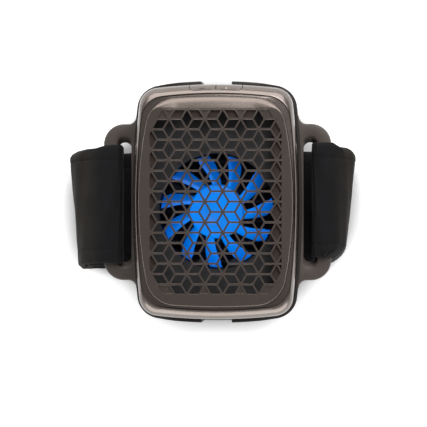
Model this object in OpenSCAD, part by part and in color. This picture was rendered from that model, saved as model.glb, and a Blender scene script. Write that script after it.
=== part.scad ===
// Hot and cold therapy unit in a strap cradle, lying on its back on the strap.
// Millimetres. +Z points out of the front grille, +Y to the buttons, the floor is z = 0.

/* [Unit] */
// Width of the unit across the middle
unit_w = 68; // [64:0.5:76]
// Height of the unit, buttons to charging port
unit_h = 97.2; // [94:0.5:110]
// Depth of the unit, contact plate to front cover
unit_d = 46; // [45:0.5:52]
// Radius of the bowed long sides
side_bow_r = 370; // [300:10:600]
// Radius of the bowed short ends
end_bow_r = 206; // [160:2:400]
// Radius of the unit's corners
unit_corner_r = 8; // [6:0.5:10]
// Wall of both housings
shell_wall = 2; // [1.6:0.1:2.4]
// Height of the joint between the housings over the contact face
parting_h = 24; // [22:0.5:26]
// Height at which the shoulder starts to turn in
shoulder_h = 37; // [36.5:0.1:38]
// Radius of the shoulder, seen from the side
shoulder_r = 6.9; // [6.6:0.1:7.2]

/* [Front cover] */
// Width of the shoulder seen from the front, at the long sides
shoulder_side_w = 1.2; // [1:0.1:1.6]
// Width of the shoulder seen from the front, at the ends
shoulder_end_w = 3.35; // [3:0.05:4]
// Width of the crease round the front cover, at the long sides
crease_side_w = 0.9; // [0.7:0.1:1.2]
// Width of the crease round the front cover, at the ends
crease_end_w = 1.65; // [1.3:0.05:2]
// Depth of the crease under the shoulder's edge
crease_depth = 1.7; // [1.2:0.1:2]
// Corner radius of the front cover
cover_corner_r = 12.5; // [11:0.5:13.5]
// Clearance round the front cover
cover_clear = 0.15; // [0.1:0.05:0.25]
// Thickness of the front cover's rim
cover_rim_t = 1.8; // [1.5:0.1:2.2]
// Width of the rounded edge of the front cover
cover_round_w = 4.6; // [4:0.1:4.8]
// Height of the rounded edge of the front cover
cover_round_h = 2.7; // [2:0.1:3.2]
// Thickness of the grille
grille_t = 1.6; // [1.2:0.1:2]
// Side length of one rhombus of the lattice
cell_side = 4.89; // [4.4:0.01:5.4]
// Width of a lattice rib
rib_w = 0.8; // [0.6:0.05:1]
// Depth of the blind cells at the edge of the lattice
blind_depth = 0.9; // [0.6:0.1:1]
// Width of the lattice window
window_w = 54.1; // [50:0.1:55]
// Height of the lattice window
window_h = 75.2; // [70:0.1:76]
// Sideways place of one star of the lattice
star_x = 3; // [-4:0.05:4]
// Lengthways place of one star of the lattice
star_y = -4.2; // [-5:0.05:5]

/* [Cold side] */
// Height of the narrow pedestal behind the unit
pedestal_h = 10.1; // [9.5:0.1:11]
// How far the pedestal stands back from the unit's outline
pedestal_step = 5; // [4.5:0.1:5.5]
// Thickness of the contact plate
plate_t = 3; // [2.5:0.1:3.5]
// How far the contact plate stands out of the pedestal
plate_proud = 0.8; // [0.5:0.1:1.2]
// Thickness of the thermal pads
pad_t = 0.5; // [0.3:0.05:0.8]
// Side of the thermoelectric module
module_side = 40; // [30:1:40]
// Thickness of the thermoelectric module
module_t = 3.8; // [3:0.1:4.2]
// Thickness of the gasket round the contact plate
gasket_t = 0.6; // [0.4:0.1:0.8]

/* [Heat sink] */
// Width of the heat sink
sink_w = 50; // [46:1:51]
// Length of the heat sink
sink_l = 56; // [54:1:58]
// Thickness of the heat sink's base
sink_base_t = 4; // [3:0.5:5]
// Thickness of a fin
fin_t = 1.2; // [0.8:0.1:1.6]
// Distance between two fins
fin_pitch = 4.2; // [3.6:0.1:5]

/* [Fan] */
// Sideways place of the fan's axis
fan_x = 0.3; // [-1:0.1:1]
// Distance of the fan's axis from the button end
fan_from_end = 52.5; // [51.5:0.1:53.5]
// Side of the square fan frame
fan_side = 51; // [50:0.5:53]
// Height of the fan frame
fan_h = 10; // [9.5:0.1:10.4]
// Radius over the blades' tips
blade_tip_r = 23.3; // [22:0.1:23.4]
// Radius of the fan's hub
hub_r = 11.3; // [10.5:0.1:12]
// Number of blades
blades = 11; // [7:1:13]
// Sweep of a blade from root to tip, in degrees
blade_sweep = 15; // [5:1:20]
// Width of a blade at its root, seen from the front
blade_root_w = 3.2; // [2.5:0.1:4]
// Width of a blade at its tip, seen from the front
blade_tip_w = 6; // [5:0.1:7]
// Radius of the fan's shaft
shaft_r = 1; // [0.8:0.1:1.2]
// Gap between the blades and the fan frame
tip_gap = 0.6; // [0.5:0.1:0.8]
// Thickness of the baffle plate behind the grille
shroud_t = 1.5; // [1.2:0.1:1.6]

/* [Buttons] */
// Width over both buttons
buttons_w = 22; // [18:0.5:24]
// Height of the buttons in the end wall
button_h = 11.3; // [10.5:0.1:11.5]
// Travel of a button
button_travel = 0.6; // [0.4:0.05:0.65]
// Clearance round a button
button_clear = 0.2; // [0.15:0.05:0.3]

/* [Electronics] */
// Thickness of the circuit boards
board_t = 1.6; // [1:0.2:1.6]
// Thickness of one battery cell
cell_t = 8.4; // [7:0.1:8.6]
// Length of one battery cell
cell_l = 50; // [44:1:50]
// Height of one battery cell
cell_h = 17; // [14:0.5:17.5]
// Width of the charging port
port_w = 9; // [8.9:0.1:9.2]
// Height of the charging port
port_h = 3.3; // [3.2:0.1:3.4]

/* [Cradle] */
// Clearance between the unit and the cradle
cradle_clear = 0.3; // [0.25:0.05:0.4]
// Wall of the cradle
cradle_wall = 1.5; // [1.2:0.1:2]
// Height of the cradle's ring
cradle_h = 17.5; // [17:0.5:19]
// Thickness of the ledge that the unit rests on
ledge_t = 3; // [2.5:0.1:3.5]
// Height of the end clips over the ring
clip_h = 7; // [5:0.5:8]
// Width over the clips of one end
clip_w = 45; // [38:1:50]
// Width of the thumb notch between the clips
notch_w = 11.5; // [10:0.5:16]
// Reach of a strap lug from the middle of the cradle
lug_reach = 48; // [47:0.5:50]
// Length of a strap lug
lug_l = 66; // [64:1:70]
// Thickness of a strap lug
lug_t = 5; // [4.5:0.1:5.4]
// Corner radius of a strap lug
lug_corner_r = 8.5; // [5:0.5:9]
// Radius where a lug meets the ring
lug_fillet_r = 3.3; // [2.5:0.1:4]
// Width of the strap slot
slot_w = 5.6; // [5.4:0.1:5.8]
// Length of the strap slot
slot_l = 55; // [54:0.5:58]
// Width of the bar that carries the strap
bar_w = 6; // [5:0.1:6.2]

/* [Strap] */
// Width of the strap
strap_w = 50; // [40:1:51]
// Thickness of the strap
strap_t = 2.4; // [2:0.1:2.5]
// Gap between two layers of the strap
layer_gap = 0.3; // [0.25:0.05:0.35]
// How far the left loop bulges out, from the middle
bulge_left = 61.4; // [60:0.2:66]
// How far the right loop bulges out, from the middle
bulge_right = 56.4; // [56:0.2:60]
// Lean of the left loop over half the strap's width
lean_left = 2.1; // [0:0.1:2.4]
// Lean of the right loop over half the strap's width
lean_right = 2.5; // [0:0.1:2.6]
// How far the loops sag towards the charging end
strap_sag = 3; // [0:0.1:3.2]
// Length of the hook tab
tab_l = 22; // [15:1:30]

/* [Hidden] */

// Colours
bronze = "#7a7069";
charcoal = "#3b3a3a";
webbing = "#26262a";
azure = "#0a86f5";
metal = "#b9bcc0";
board_green = "#1f5b3a";

// Round pieces: bores and pins are true circles
round_fn = 48;
// Smallest overlap that makes a cut clean
cut = 0.5;
// Gap of a piece that is glued or seated beside another
seat_gap = 0.1;

// ---- Heights over the contact face, then the unit's place over the strap ----
unit_z = 2 * strap_t + 2 * layer_gap;
fan_y = unit_h / 2 - fan_from_end;
plate_top = plate_t;
module_z = plate_top + pad_t;
sink_z = module_z + module_t + pad_t;
fins_z = sink_z + sink_base_t;
fan_z = parting_h + 1;
fan_top = fan_z + fan_h;
led_t = 1;
shroud_z = fan_top + led_t;
cover_seat_h = unit_d - 6.2;
cover_seat_t = 1.5;
grille_z = unit_d - grille_t;
board_z = parting_h + 8.5;
tray_floor_z = pedestal_h + shell_wall;
tray_floor_t = 1;
tray_y = fan_y + sink_l / 2 + 2.4;
tray_wall = 1.2;
tray_gap = 0.3;

// ---- Outlines: bowed sides and ends with tangent corner arcs ----
// An outline is [half width, half height, side radius, end radius, corner radius].
unit_o = [unit_w / 2, unit_h / 2, side_bow_r, end_bow_r, unit_corner_r];
crease_o = [unit_w / 2 - shoulder_side_w, unit_h / 2 - shoulder_end_w, 0.8 * side_bow_r,
    0.9 * end_bow_r, (unit_corner_r + cover_corner_r) / 2];
cover_o = [crease_o[0] - crease_side_w, crease_o[1] - crease_end_w, 0.45 * side_bow_r,
    1.15 * end_bow_r, cover_corner_r];

least_corner_r = 1;
function grow(o, d) = [o[0] + d, o[1] + d, o[2] + d, o[3] + d, max(o[4] + d, least_corner_r)];
function mix(a, b, t) = [for (i = [0:len(a) - 1]) a[i] * (1 - t) + b[i] * t];

// Centre of the corner arc: it touches the side arc and the end arc from inside
function corner_at(o) =
    let (x1 = o[0] - o[2], r1 = o[2] - o[4], y2 = o[1] - o[3], r2 = o[3] - o[4])
    let (d = norm([x1, y2]), a = (r1 * r1 - r2 * r2 + d * d) / (2 * d))
    let (h = sqrt(r1 * r1 - a * a), m = [x1 - a * x1 / d, a * y2 / d])
    [m[0] - h * y2 / d, m[1] - h * x1 / d];

side_n = 4;
corner_n = 7;
end_n = 5;

// Points from the +X axis to the +Y axis
function quarter(o) =
    let (c = corner_at(o), x1 = o[0] - o[2], y2 = o[1] - o[3])
    let (a1 = atan2(c[1], c[0] - x1), a2 = atan2(c[1] - y2, c[0]))
    concat(
        [for (i = [0:side_n - 1]) let (a = a1 * i / side_n) [x1 + o[2] * cos(a), o[2] * sin(a)]],
        [for (i = [0:corner_n - 1]) let (a = a1 + (a2 - a1) * i / corner_n)
            c + o[4] * [cos(a), sin(a)]],
        [for (i = [0:end_n]) let (a = a2 + (90 - a2) * i / end_n)
            [o[3] * cos(a), y2 + o[3] * sin(a)]]);

function outline(o) =
    let (q = quarter(o), m = len(q) - 1)
    concat(
        [for (i = [0:m]) q[i]],
        [for (i = [m - 1:-1:0]) [-q[i][0], q[i][1]]],
        [for (i = [1:m]) [-q[i][0], -q[i][1]]],
        [for (i = [m - 1:-1:1]) [q[i][0], -q[i][1]]]);

// Half width of an outline at a given height, on its bowed side
function side_x(o, y) = o[0] - (o[2] - sqrt(o[2] * o[2] - y * y));

function lift(points, z) = [for (p = points) [p[0], p[1], z]];

module slab(o, z0, z1) {
    translate([0, 0, z0])
        linear_extrude(z1 - z0)
            polygon(outline(o));
}

module tube_slab(outer, inner, z0, z1) {
    difference() {
        slab(outer, z0, z1);
        slab(inner, z0 - cut, z1 + cut);
    }
}

// Surface through matched convex rings of an even number of points. A closed loft joins its last
// ring to its first, an open one has flat ends.
module loft(rings, closed = false) {
    n = len(rings[0]);
    k = len(rings);
    spans = closed ? k : k - 1;
    sides = [for (j = [0:spans - 1]) for (i = [0:n - 1])
        let (a = j * n, b = ((j + 1) % k) * n, i2 = (i + 1) % n)
        for (f = [[a + i, b + i, b + i2], [a + i, b + i2, a + i2]]) f];
    top = (k - 1) * n;
    caps = closed ? [] : [for (i = [0:n / 2 - 2])
        let (j = n - 1 - i)
        for (f = [[i, i + 1, j - 1], [i, j - 1, j], [top + i, top + j - 1, top + i + 1],
            [top + i, top + j, top + j - 1]]) f];
    polyhedron([for (r = rings) for (p = r) p], concat(sides, caps), 10);
}

module box(lo, hi) {
    translate(lo)
        cube(hi - lo);
}

module rod(r, z0, z1) {
    translate([0, 0, z0])
        cylinder(r = r, h = z1 - z0, $fn = round_fn);
}

module at_corners(x, y) {
    for (sx = [-1, 1], sy = [-1, 1])
        translate([sx * x, sy * y, 0])
            children();
}

module in_unit() {
    translate([0, 0, unit_z])
        children();
}

module at_fan() {
    in_unit()
        translate([fan_x, fan_y, 0])
            children();
}

// ---- Screws ----
case_screw_r = 1.1;
case_screw_y = 33;
case_screw_x = side_x(unit_o, case_screw_y) - 2.6;
case_boss_r = 2.6;
case_head_r = 2;
case_head_t = 1.5;
case_boss_top = parting_h + 8;
fan_screw_at = fan_side / 2 - 5.5;
fan_screw_r = 1.5;
fan_head_r = 2.6;
fan_head_t = 1.6;
fan_screw_l = 17;
post_r = 3.2;
sink_screw_r = 1.25;
sink_head_r = 2.3;
sink_head_t = 1.5;
sink_screw_x = 0.175 * module_side;
sink_screw_y = module_side / 2 + 2.6;
plate_thread = 1.8;
thread_gap = 0.02;
case_gap = 0.3;

// Keeps a piece clear of the housings' inside wall and of their screw bosses
module inside_case() {
    difference() {
        intersection() {
            children();
            slab(grow(unit_o, -shell_wall - case_gap), 0, unit_d);
        }
        at_corners(case_screw_x, case_screw_y)
            rod(case_boss_r + case_gap, 0, case_boss_top + case_gap);
    }
}

// ---- Shoulder of the front housing ----
shoulder_turn = 60;
shoulder_steps = 5;
crest_h = shoulder_h + shoulder_r * sin(shoulder_turn);
crease_h = crest_h - crease_depth;

function shoulder_ring(a) =
    lift(outline(mix(unit_o, crease_o, (1 - cos(a)) / (1 - cos(shoulder_turn)))),
        shoulder_h + shoulder_r * sin(a));

// ---- Cradle and strap heights ----
cradle_z = unit_z + pedestal_h - ledge_t;
cradle_top = cradle_z + cradle_h;
lug_z = cradle_top - lug_t - 2;
lug_top = lug_z + lug_t;
bar_x = lug_reach - bar_w;
cradle_in_o = grow(unit_o, cradle_clear);
cradle_out_o = grow(cradle_in_o, cradle_wall);
notch_drop = 12;
notch_z = cradle_top - notch_drop;

module holder_frame() {
    ledge_o = grow(unit_o, -pedestal_step + 0.6);
    color(charcoal)
    difference() {
        union() {
            slab(cradle_out_o, cradle_z, cradle_top);
            intersection() {
                slab(cradle_out_o, cradle_top - cut, cradle_top + clip_h);
                box([-clip_w / 2, -unit_h, cradle_z], [clip_w / 2, unit_h, unit_z + unit_d]);
            }
            for (s = [0, 1])
                mirror([s, 0, 0])
                    lug();
        }
        slab(cradle_in_o, cradle_z + ledge_t, unit_z + unit_d);
        slab(ledge_o, cradle_z - cut, cradle_z + ledge_t + cut);
        for (s = [-1, 1])
            scale([1, s, 1])
                thumb_notch();
    }
}

module thumb_notch() {
    slant = 0.7;
    translate([0, unit_h, 0])
        rotate([90, 0, 0])
            linear_extrude(unit_h / 2)
                polygon([[-notch_w / 2, notch_z], [notch_w / 2, notch_z],
                    [notch_w / 2 + slant, cradle_top + clip_h + cut],
                    [-notch_w / 2 - slant, cradle_top + clip_h + cut]]);
}

// Right-hand lug with its strap slot and bar
module lug() {
    inner_x = unit_w / 2 - 1;
    root_x = side_x(cradle_out_o, lug_l / 2);
    translate([0, 0, lug_z])
        linear_extrude(lug_t)
            difference() {
                union() {
                    translate([inner_x, -lug_l / 2 + lug_corner_r])
                        square([lug_reach - inner_x, lug_l - 2 * lug_corner_r]);
                    translate([inner_x, -lug_l / 2])
                        square([lug_reach - lug_corner_r - inner_x, lug_l]);
                    for (s = [-1, 1]) {
                        translate([lug_reach - lug_corner_r, s * (lug_l / 2 - lug_corner_r)])
                            circle(r = lug_corner_r, $fn = round_fn);
                        scale([1, s])
                            difference() {
                                translate([inner_x - 2, lug_l / 2 - cut])
                                    square([root_x + lug_fillet_r - inner_x + 2,
                                        lug_fillet_r + cut]);
                                translate([root_x + lug_fillet_r, lug_l / 2 + lug_fillet_r])
                                    circle(r = lug_fillet_r, $fn = round_fn);
                            }
                    }
                }
                translate([bar_x - slot_w / 2, 0]) {
                    square([slot_w, slot_l - slot_w], center = true);
                    for (s = [-1, 1])
                        translate([0, s * (slot_l - slot_w) / 2])
                            circle(r = slot_w / 2, $fn = round_fn);
                }
            }
}

// ---- Strap ----
tail_z = strap_t / 2;
run_z = tail_z + strap_t + layer_gap;
over_z = lug_top + layer_gap + strap_t / 2;
under_z = lug_z - layer_gap - strap_t / 2;
wrap_r = (over_z - under_z) / 2;
layer_step = strap_t + layer_gap;
left_x = bulge_left - strap_t / 2;
right_x = bulge_right - strap_t / 2;
left_r = 9;
right_r = 4.5;
right_low_r = 8;
tuck_r = 5;
sewn_end_z = run_z + 6;
tail_end_x = -20;
arc_n = 6;
sag_full_z = 12;

// Each point of the strap's path is [x, z, lean], lean being how far x shifts per half width
function bend(c, r, a0, a1, lean, n = arc_n) =
    [for (i = [0:n]) let (a = a0 + (a1 - a0) * i / n) [c[0] + r * cos(a), c[1] + r * sin(a), lean]];

strap_path = concat(
    [[-left_x + layer_step, sewn_end_z, -lean_left]],
    bend([-left_x + layer_step + tuck_r, under_z - tuck_r], tuck_r, 180, 90, -lean_left),
    bend([-bar_x, (over_z + under_z) / 2], wrap_r, -90, 90, 0, 8),
    bend([-left_x + left_r, over_z - left_r], left_r, 90, 180, -lean_left),
    bend([-left_x + left_r, run_z + left_r], left_r, 180, 270, -lean_left),
    bend([right_x - right_low_r, tail_z + right_low_r], right_low_r - layer_step, -90, 0,
        lean_right),
    bend([right_x - layer_step - tuck_r, under_z - tuck_r], tuck_r, 0, 90, lean_right),
    bend([bar_x, (over_z + under_z) / 2], wrap_r, 270, 90, 0, 8),
    bend([right_x - right_r, over_z - right_r], right_r, 90, 0, lean_right),
    bend([right_x - right_low_r, tail_z + right_low_r], right_low_r, 0, -90, lean_right),
    [[tail_end_x, tail_z, 0]]);

// Place on the strap: p a path point, s from -1 to 1 across, w its offset along the normal
function strap_at(p, normal, s, w) =
    let (z = p[1] + w * normal[1], drop = min(1, max(0, (over_z - p[1]) / (over_z - sag_full_z))))
    [p[0] + p[2] * s + w * normal[0], s * strap_w / 2 - strap_sag * drop, z];

function unit_v(v) = v / norm(v);

module band(path, cross) {
    k = len(path);
    normals = [for (i = [0:k - 1])
        let (a = path[max(i - 1, 0)], b = path[min(i + 1, k - 1)])
        let (t = unit_v([b[0] - a[0], b[1] - a[1]])) [-t[1], t[0]]];
    loft([for (i = [0:k - 1]) [for (c = cross) strap_at(path[i], normals[i], c[0], c[1])]]);
}

// Cross-section of the band: flat faces with eased edges
edge_s = 1 - strap_t / strap_w;
band_half = [[-1, strap_t / 4], [-edge_s, strap_t / 2], [edge_s, strap_t / 2], [1, strap_t / 4]];
band_cross = concat([for (c = band_half) [c[0], -c[1]]],
    [for (i = [len(band_half) - 1:-1:0]) band_half[i]]);

module strap_band() {
    color(webbing)
        band(strap_path, band_cross);
}

module strap_hook_tab() {
    tip_r = 6;
    sew_gap = 0.1;
    color("#141416")
        translate([tail_end_x - sew_gap - tab_l, -strap_w / 2 - strap_sag, 0])
            linear_extrude(strap_t)
                union() {
                    translate([tip_r, 0])
                        square([tab_l - tip_r, strap_w]);
                    translate([0, tip_r])
                        square([tip_r + cut, strap_w - 2 * tip_r]);
                    for (y = [tip_r, strap_w - tip_r])
                        translate([tip_r, y])
                            circle(r = tip_r, $fn = round_fn);
                }
}

// ---- Cold side ----
pedestal_o = grow(unit_o, -pedestal_step);
plate_o = grow(pedestal_o, -1.7);
plate_hole_o = grow(plate_o, 0.15);
gasket_w = 1.7;
sensor_r = 1.6;
sensor_x = module_side / 2 + 3.2;
sensor_floor = 1.2;

module contact_plate() {
    chamfer = 0.6;
    color(metal)
    in_unit()
        difference() {
            union() {
                slab(plate_o, chamfer, plate_t);
                slab(grow(plate_o, -chamfer), 0, chamfer + 0.01);
            }
            translate([0, fan_y, 0])
                at_corners(sink_screw_x, sink_screw_y)
                    rod(sink_screw_r + thread_gap, plate_t - plate_thread, plate_t + cut);
            translate([sensor_x, fan_y, 0])
                rod(sensor_r + thread_gap, sensor_floor, plate_t + cut);
        }
}

module temperature_sensor() {
    color("#d8d2c4")
    in_unit()
        translate([sensor_x, fan_y, 0])
            rod(sensor_r, sensor_floor, plate_t + gasket_t - seat_gap);
}

module plate_gasket() {
    color("#4a4a4a")
    in_unit()
        tube_slab(grow(plate_o, -0.2), grow(plate_o, -gasket_w), plate_t, plate_t + gasket_t);
}

pedestal_floor_t = 1.5;
pedestal_floor_z = plate_t + gasket_t + pedestal_floor_t;
sink_gap = 0.4;

module rear_housing() {
    color(bronze)
    in_unit()
        difference() {
            union() {
                difference() {
                    union() {
                        slab(pedestal_o, plate_proud, pedestal_h + cut);
                        slab(unit_o, pedestal_h, parting_h);
                    }
                    slab(grow(pedestal_o, -shell_wall), pedestal_floor_z, parting_h);
                    slab(grow(unit_o, -shell_wall), pedestal_h + shell_wall, parting_h + cut);
                }
                intersection() {
                    at_corners(case_screw_x, case_screw_y)
                        rod(case_boss_r, pedestal_h, parting_h);
                    slab(grow(unit_o, -shell_wall / 2), pedestal_h, parting_h);
                }
                charge_posts();
            }
            slab(plate_hole_o, plate_proud - cut, plate_t + gasket_t);
            box([-sink_w / 2 - sink_gap, fan_y - sink_l / 2 - sink_gap, plate_proud],
                [sink_w / 2 + sink_gap, lead_y + lead_r + sink_gap, tray_floor_z + cut]);
            at_corners(case_screw_x, case_screw_y) {
                rod(case_screw_r + thread_gap, pedestal_h - cut, parting_h + cut);
                rod(case_head_r + 0.15, pedestal_h - cut, pedestal_h + case_head_t);
            }
        }
}

charge_z = parting_h + 3.5;
charge_post_r = 2;
charge_half_w = 12;
charge_gap = 0.8;
charge_end_y = -unit_h / 2 + shell_wall + charge_gap;

module charge_posts() {
    for (s = [-1, 1])
        translate([s * (charge_half_w - charge_post_r - cut), charge_end_y + charge_post_r + cut, 0])
            rod(charge_post_r, pedestal_h, charge_z);
}

module housing_screws() {
    color(metal)
    in_unit()
        at_corners(case_screw_x, case_screw_y) {
            rod(case_screw_r, pedestal_h + 0.1, case_boss_top - 1);
            rod(case_head_r, pedestal_h + 0.1, pedestal_h + case_head_t);
        }
}

module thermal_pad(z) {
    color("#c9c6d2")
    in_unit()
        translate([-module_side / 2, fan_y - module_side / 2, z])
            cube([module_side, module_side, pad_t]);
}

module thermal_pad_lower() {
    thermal_pad(plate_top);
}

module thermal_pad_upper() {
    thermal_pad(module_z + module_t);
}

module thermoelectric_module() {
    ceramic_t = 0.8;
    legs = 9;
    leg_w = 2.2;
    leg_pitch = (module_side - 2 - leg_w) / (legs - 1);
    color("#e8e6df")
    in_unit()
        translate([-module_side / 2, fan_y - module_side / 2, module_z]) {
            cube([module_side, module_side, ceramic_t]);
            translate([0, 0, module_t - ceramic_t])
                cube([module_side, module_side, ceramic_t]);
            for (i = [0:legs - 1])
                translate([1 + i * leg_pitch, 1, ceramic_t / 2])
                    cube([leg_w, module_side - 2, module_t - ceramic_t]);
        }
}

module insulation_foam() {
    margin = 0.6;
    foam_w = sink_w;
    foam_l = sink_l;
    color("#2f3133")
    in_unit()
        difference() {
            box([-foam_w / 2, fan_y - foam_l / 2, plate_t + gasket_t + 0.1],
                [foam_w / 2, fan_y + foam_l / 2, sink_z]);
            box([-module_side / 2 - margin, fan_y - module_side / 2 - margin, 0],
                [module_side / 2 + margin, fan_y + module_side / 2 + margin, sink_z + cut]);
            translate([0, fan_y, 0])
                at_corners(sink_screw_x, sink_screw_y)
                    rod(sink_screw_r + 0.2, 0, sink_z + cut);
            translate([sensor_x, fan_y, 0])
                rod(sensor_r + 0.4, 0, sink_z + cut);
            module_lead_notch();
        }
}

// ---- Heat sink ----
module heat_sink() {
    fins = floor((sink_l - fin_t) / fin_pitch / 2);
    color(metal)
    in_unit()
        difference() {
            union() {
                inside_case() {
                    box([-sink_w / 2, fan_y - sink_l / 2, sink_z],
                        [sink_w / 2, fan_y + sink_l / 2, fins_z]);
                    for (i = [-fins:fins])
                        translate([-sink_w / 2, fan_y + i * fin_pitch - fin_t / 2, fins_z - cut])
                            cube([sink_w, fin_t, fan_z - fins_z + cut]);
                }
                translate([fan_x, fan_y, 0])
                    at_corners(fan_screw_at, fan_screw_at)
                        rod(post_r, fins_z - cut, fan_z);
            }
            translate([fan_x, fan_y, 0])
                at_corners(fan_screw_at, fan_screw_at)
                    rod(fan_screw_r + thread_gap, fan_top - fan_screw_l - 0.5, fan_z + cut);
            translate([0, fan_y, 0])
                at_corners(sink_screw_x, sink_screw_y) {
                    rod(sink_screw_r + 0.1, sink_z - cut, fins_z + cut);
                    rod(sink_head_r + 0.2, fins_z, fan_z + cut);
                }
        }
}

module heat_sink_screws() {
    color("#8d9095")
    in_unit()
        translate([0, fan_y, 0])
            at_corners(sink_screw_x, sink_screw_y) {
                rod(sink_screw_r, plate_t - plate_thread + 0.1, fins_z + sink_head_t);
                rod(sink_head_r, fins_z, fins_z + sink_head_t);
            }
}

// ---- Fan ----
fan_bore_r = blade_tip_r + tip_gap;
base_t = 1.5;
strut_w = 2.4;
bearing_r = 2.6;
tube_wall = 1;
running_gap = 0.05;
bearing_top = fan_z + 7;
cup_wall = 1.2;
cup_z = fan_z + base_t + 0.7;
cup_top = fan_top - 0.3;
cup_roof_t = 1.4;
magnet_gap = 0.6;
stator_r = hub_r - cup_wall - 1 - magnet_gap;

module fan_frame() {
    color("#1c1d20")
    at_fan()
        difference() {
            union() {
                difference() {
                    box([-fan_side / 2, -fan_side / 2, fan_z], [fan_side / 2, fan_side / 2, fan_top]);
                    rod(fan_bore_r, fan_z - cut, fan_top + cut);
                }
                rod(hub_r, fan_z, fan_z + base_t);
                rod(bearing_r + tube_wall, fan_z, bearing_top);
                for (a = [30, 150, 270])
                    rotate(a)
                        translate([hub_r - 1, -strut_w / 2, fan_z])
                            cube([fan_bore_r - hub_r + 2, strut_w, base_t]);
            }
            rod(bearing_r, fan_z + base_t, bearing_top + cut);
            at_corners(fan_screw_at, fan_screw_at) {
                rod(fan_screw_r + 0.1, fan_z - cut, fan_top + cut);
                rod(fan_head_r + 0.1, fan_top - fan_head_t, fan_top + cut);
            }
        }
}

module fan_bearing() {
    color("#b08d57")
    at_fan()
        difference() {
            rod(bearing_r, fan_z + base_t, bearing_top);
            rod(shaft_r + running_gap, fan_z, bearing_top + cut);
        }
}

module fan_stator() {
    poles = 4;
    color("#8a4b2a")
    at_fan()
        difference() {
            rod(stator_r, fan_z + base_t + 0.8, bearing_top - 0.5);
            rod(bearing_r + tube_wall + 0.02, fan_z, bearing_top + cut);
            for (i = [0:poles - 1])
                rotate(45 + i * 360 / poles)
                    translate([stator_r - 2.4, -0.8, fan_z])
                        cube([4, 1.6, fan_h]);
        }
}

module fan_shaft() {
    color(metal)
    at_fan()
        rod(shaft_r, fan_z + base_t + 0.3, cup_top - cup_roof_t / 2);
}

// Outline of one blade seen from the front, swept back from root to tip
function blade_edge(side, n = 5) = [for (i = [0:n])
    let (t = i / n, r = (hub_r - 0.6) + (blade_tip_r - hub_r + 0.6) * t)
    let (w = blade_root_w + (blade_tip_w - blade_root_w) * t)
    let (a = blade_sweep * t + side * (w / 2) / r * 180 / PI)
    [r * cos(a), r * sin(a)]];

module blade() {
    pitch = 38;
    lean_t = 1.3;
    edge_a = blade_edge(-1);
    edge_b = blade_edge(1);
    blade_z = cup_z + 0.3;
    blade_h = cup_top - 0.5 - blade_z;
    intersection() {
        translate([0, 0, blade_z])
            linear_extrude(blade_h)
                polygon(concat(edge_a, [for (i = [len(edge_b) - 1:-1:0]) edge_b[i]]));
        rotate(blade_sweep / 2)
            translate([0, 0, blade_z + blade_h / 2])
                rotate([pitch, 0, 0])
                    translate([0, -blade_tip_w * 1.2, -lean_t / 2])
                        cube([blade_tip_r + 2, blade_tip_w * 2.4, lean_t]);
    }
}

module fan_rotor() {
    first_blade = 7 - blade_sweep;
    color(azure)
    at_fan()
        difference() {
            union() {
                rod(hub_r, cup_z, cup_top);
                for (i = [0:blades - 1])
                    rotate(first_blade + i * 360 / blades)
                        blade();
            }
            rod(hub_r - cup_wall - 1, cup_z - cut, cup_top - cup_roof_t);
            rod(shaft_r, cup_z - cut, cup_top - cup_roof_t / 2);
        }
}

module fan_screws() {
    color("#8d9095")
    at_fan()
        at_corners(fan_screw_at, fan_screw_at) {
            rod(fan_screw_r, fan_top - fan_screw_l, fan_top - 0.1);
            rod(fan_head_r, fan_top - fan_head_t, fan_top - 0.1);
        }
}

led_in_r = fan_bore_r + 0.3;
led_out_r = led_in_r + 3;

module led_ring() {
    chips = 8;
    board = 0.6;
    color("#dfe7ee")
    at_fan() {
        difference() {
            rod(led_out_r, fan_top, fan_top + board);
            rod(led_in_r, fan_top - cut, fan_top + board + cut);
        }
        for (i = [0:chips - 1])
            rotate(360 / chips * i)
                translate([led_in_r + 0.3, -1, fan_top + board / 2])
                    cube([1.4, 2, led_t - board / 2]);
    }
}

shroud_end_gap = 8.6;
shroud_end_y = unit_h / 2 - shroud_end_gap;

module fan_shroud() {
    color("#3a393b")
    in_unit()
        difference() {
            intersection() {
                slab(grow(unit_o, -shell_wall - 0.4), shroud_z, shroud_z + shroud_t);
                box([-unit_w, -shroud_end_y, 0], [unit_w, shroud_end_y, unit_d]);
            }
            translate([fan_x, fan_y, 0])
                rod(fan_bore_r + 0.1, shroud_z - cut, shroud_z + shroud_t + cut);
        }
}

// ---- Front housing ----
vent_w = 2.4;
vent_h = 6;
vent_pitch = 5;
vents = 11;
vent_z = cradle_top - unit_z + 2.2;
seat_o = grow(cover_o, -2);
pocket_o = grow(cover_o, cover_clear);
button_z = crest_h - 0.7 - button_h;
flange_lap = 0.8;
flange_y = unit_h / 2 - shell_wall - 1.3;
pocket_y = unit_h / 2 - 3.1;
port_z = charge_z + board_t + port_h / 2;

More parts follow.
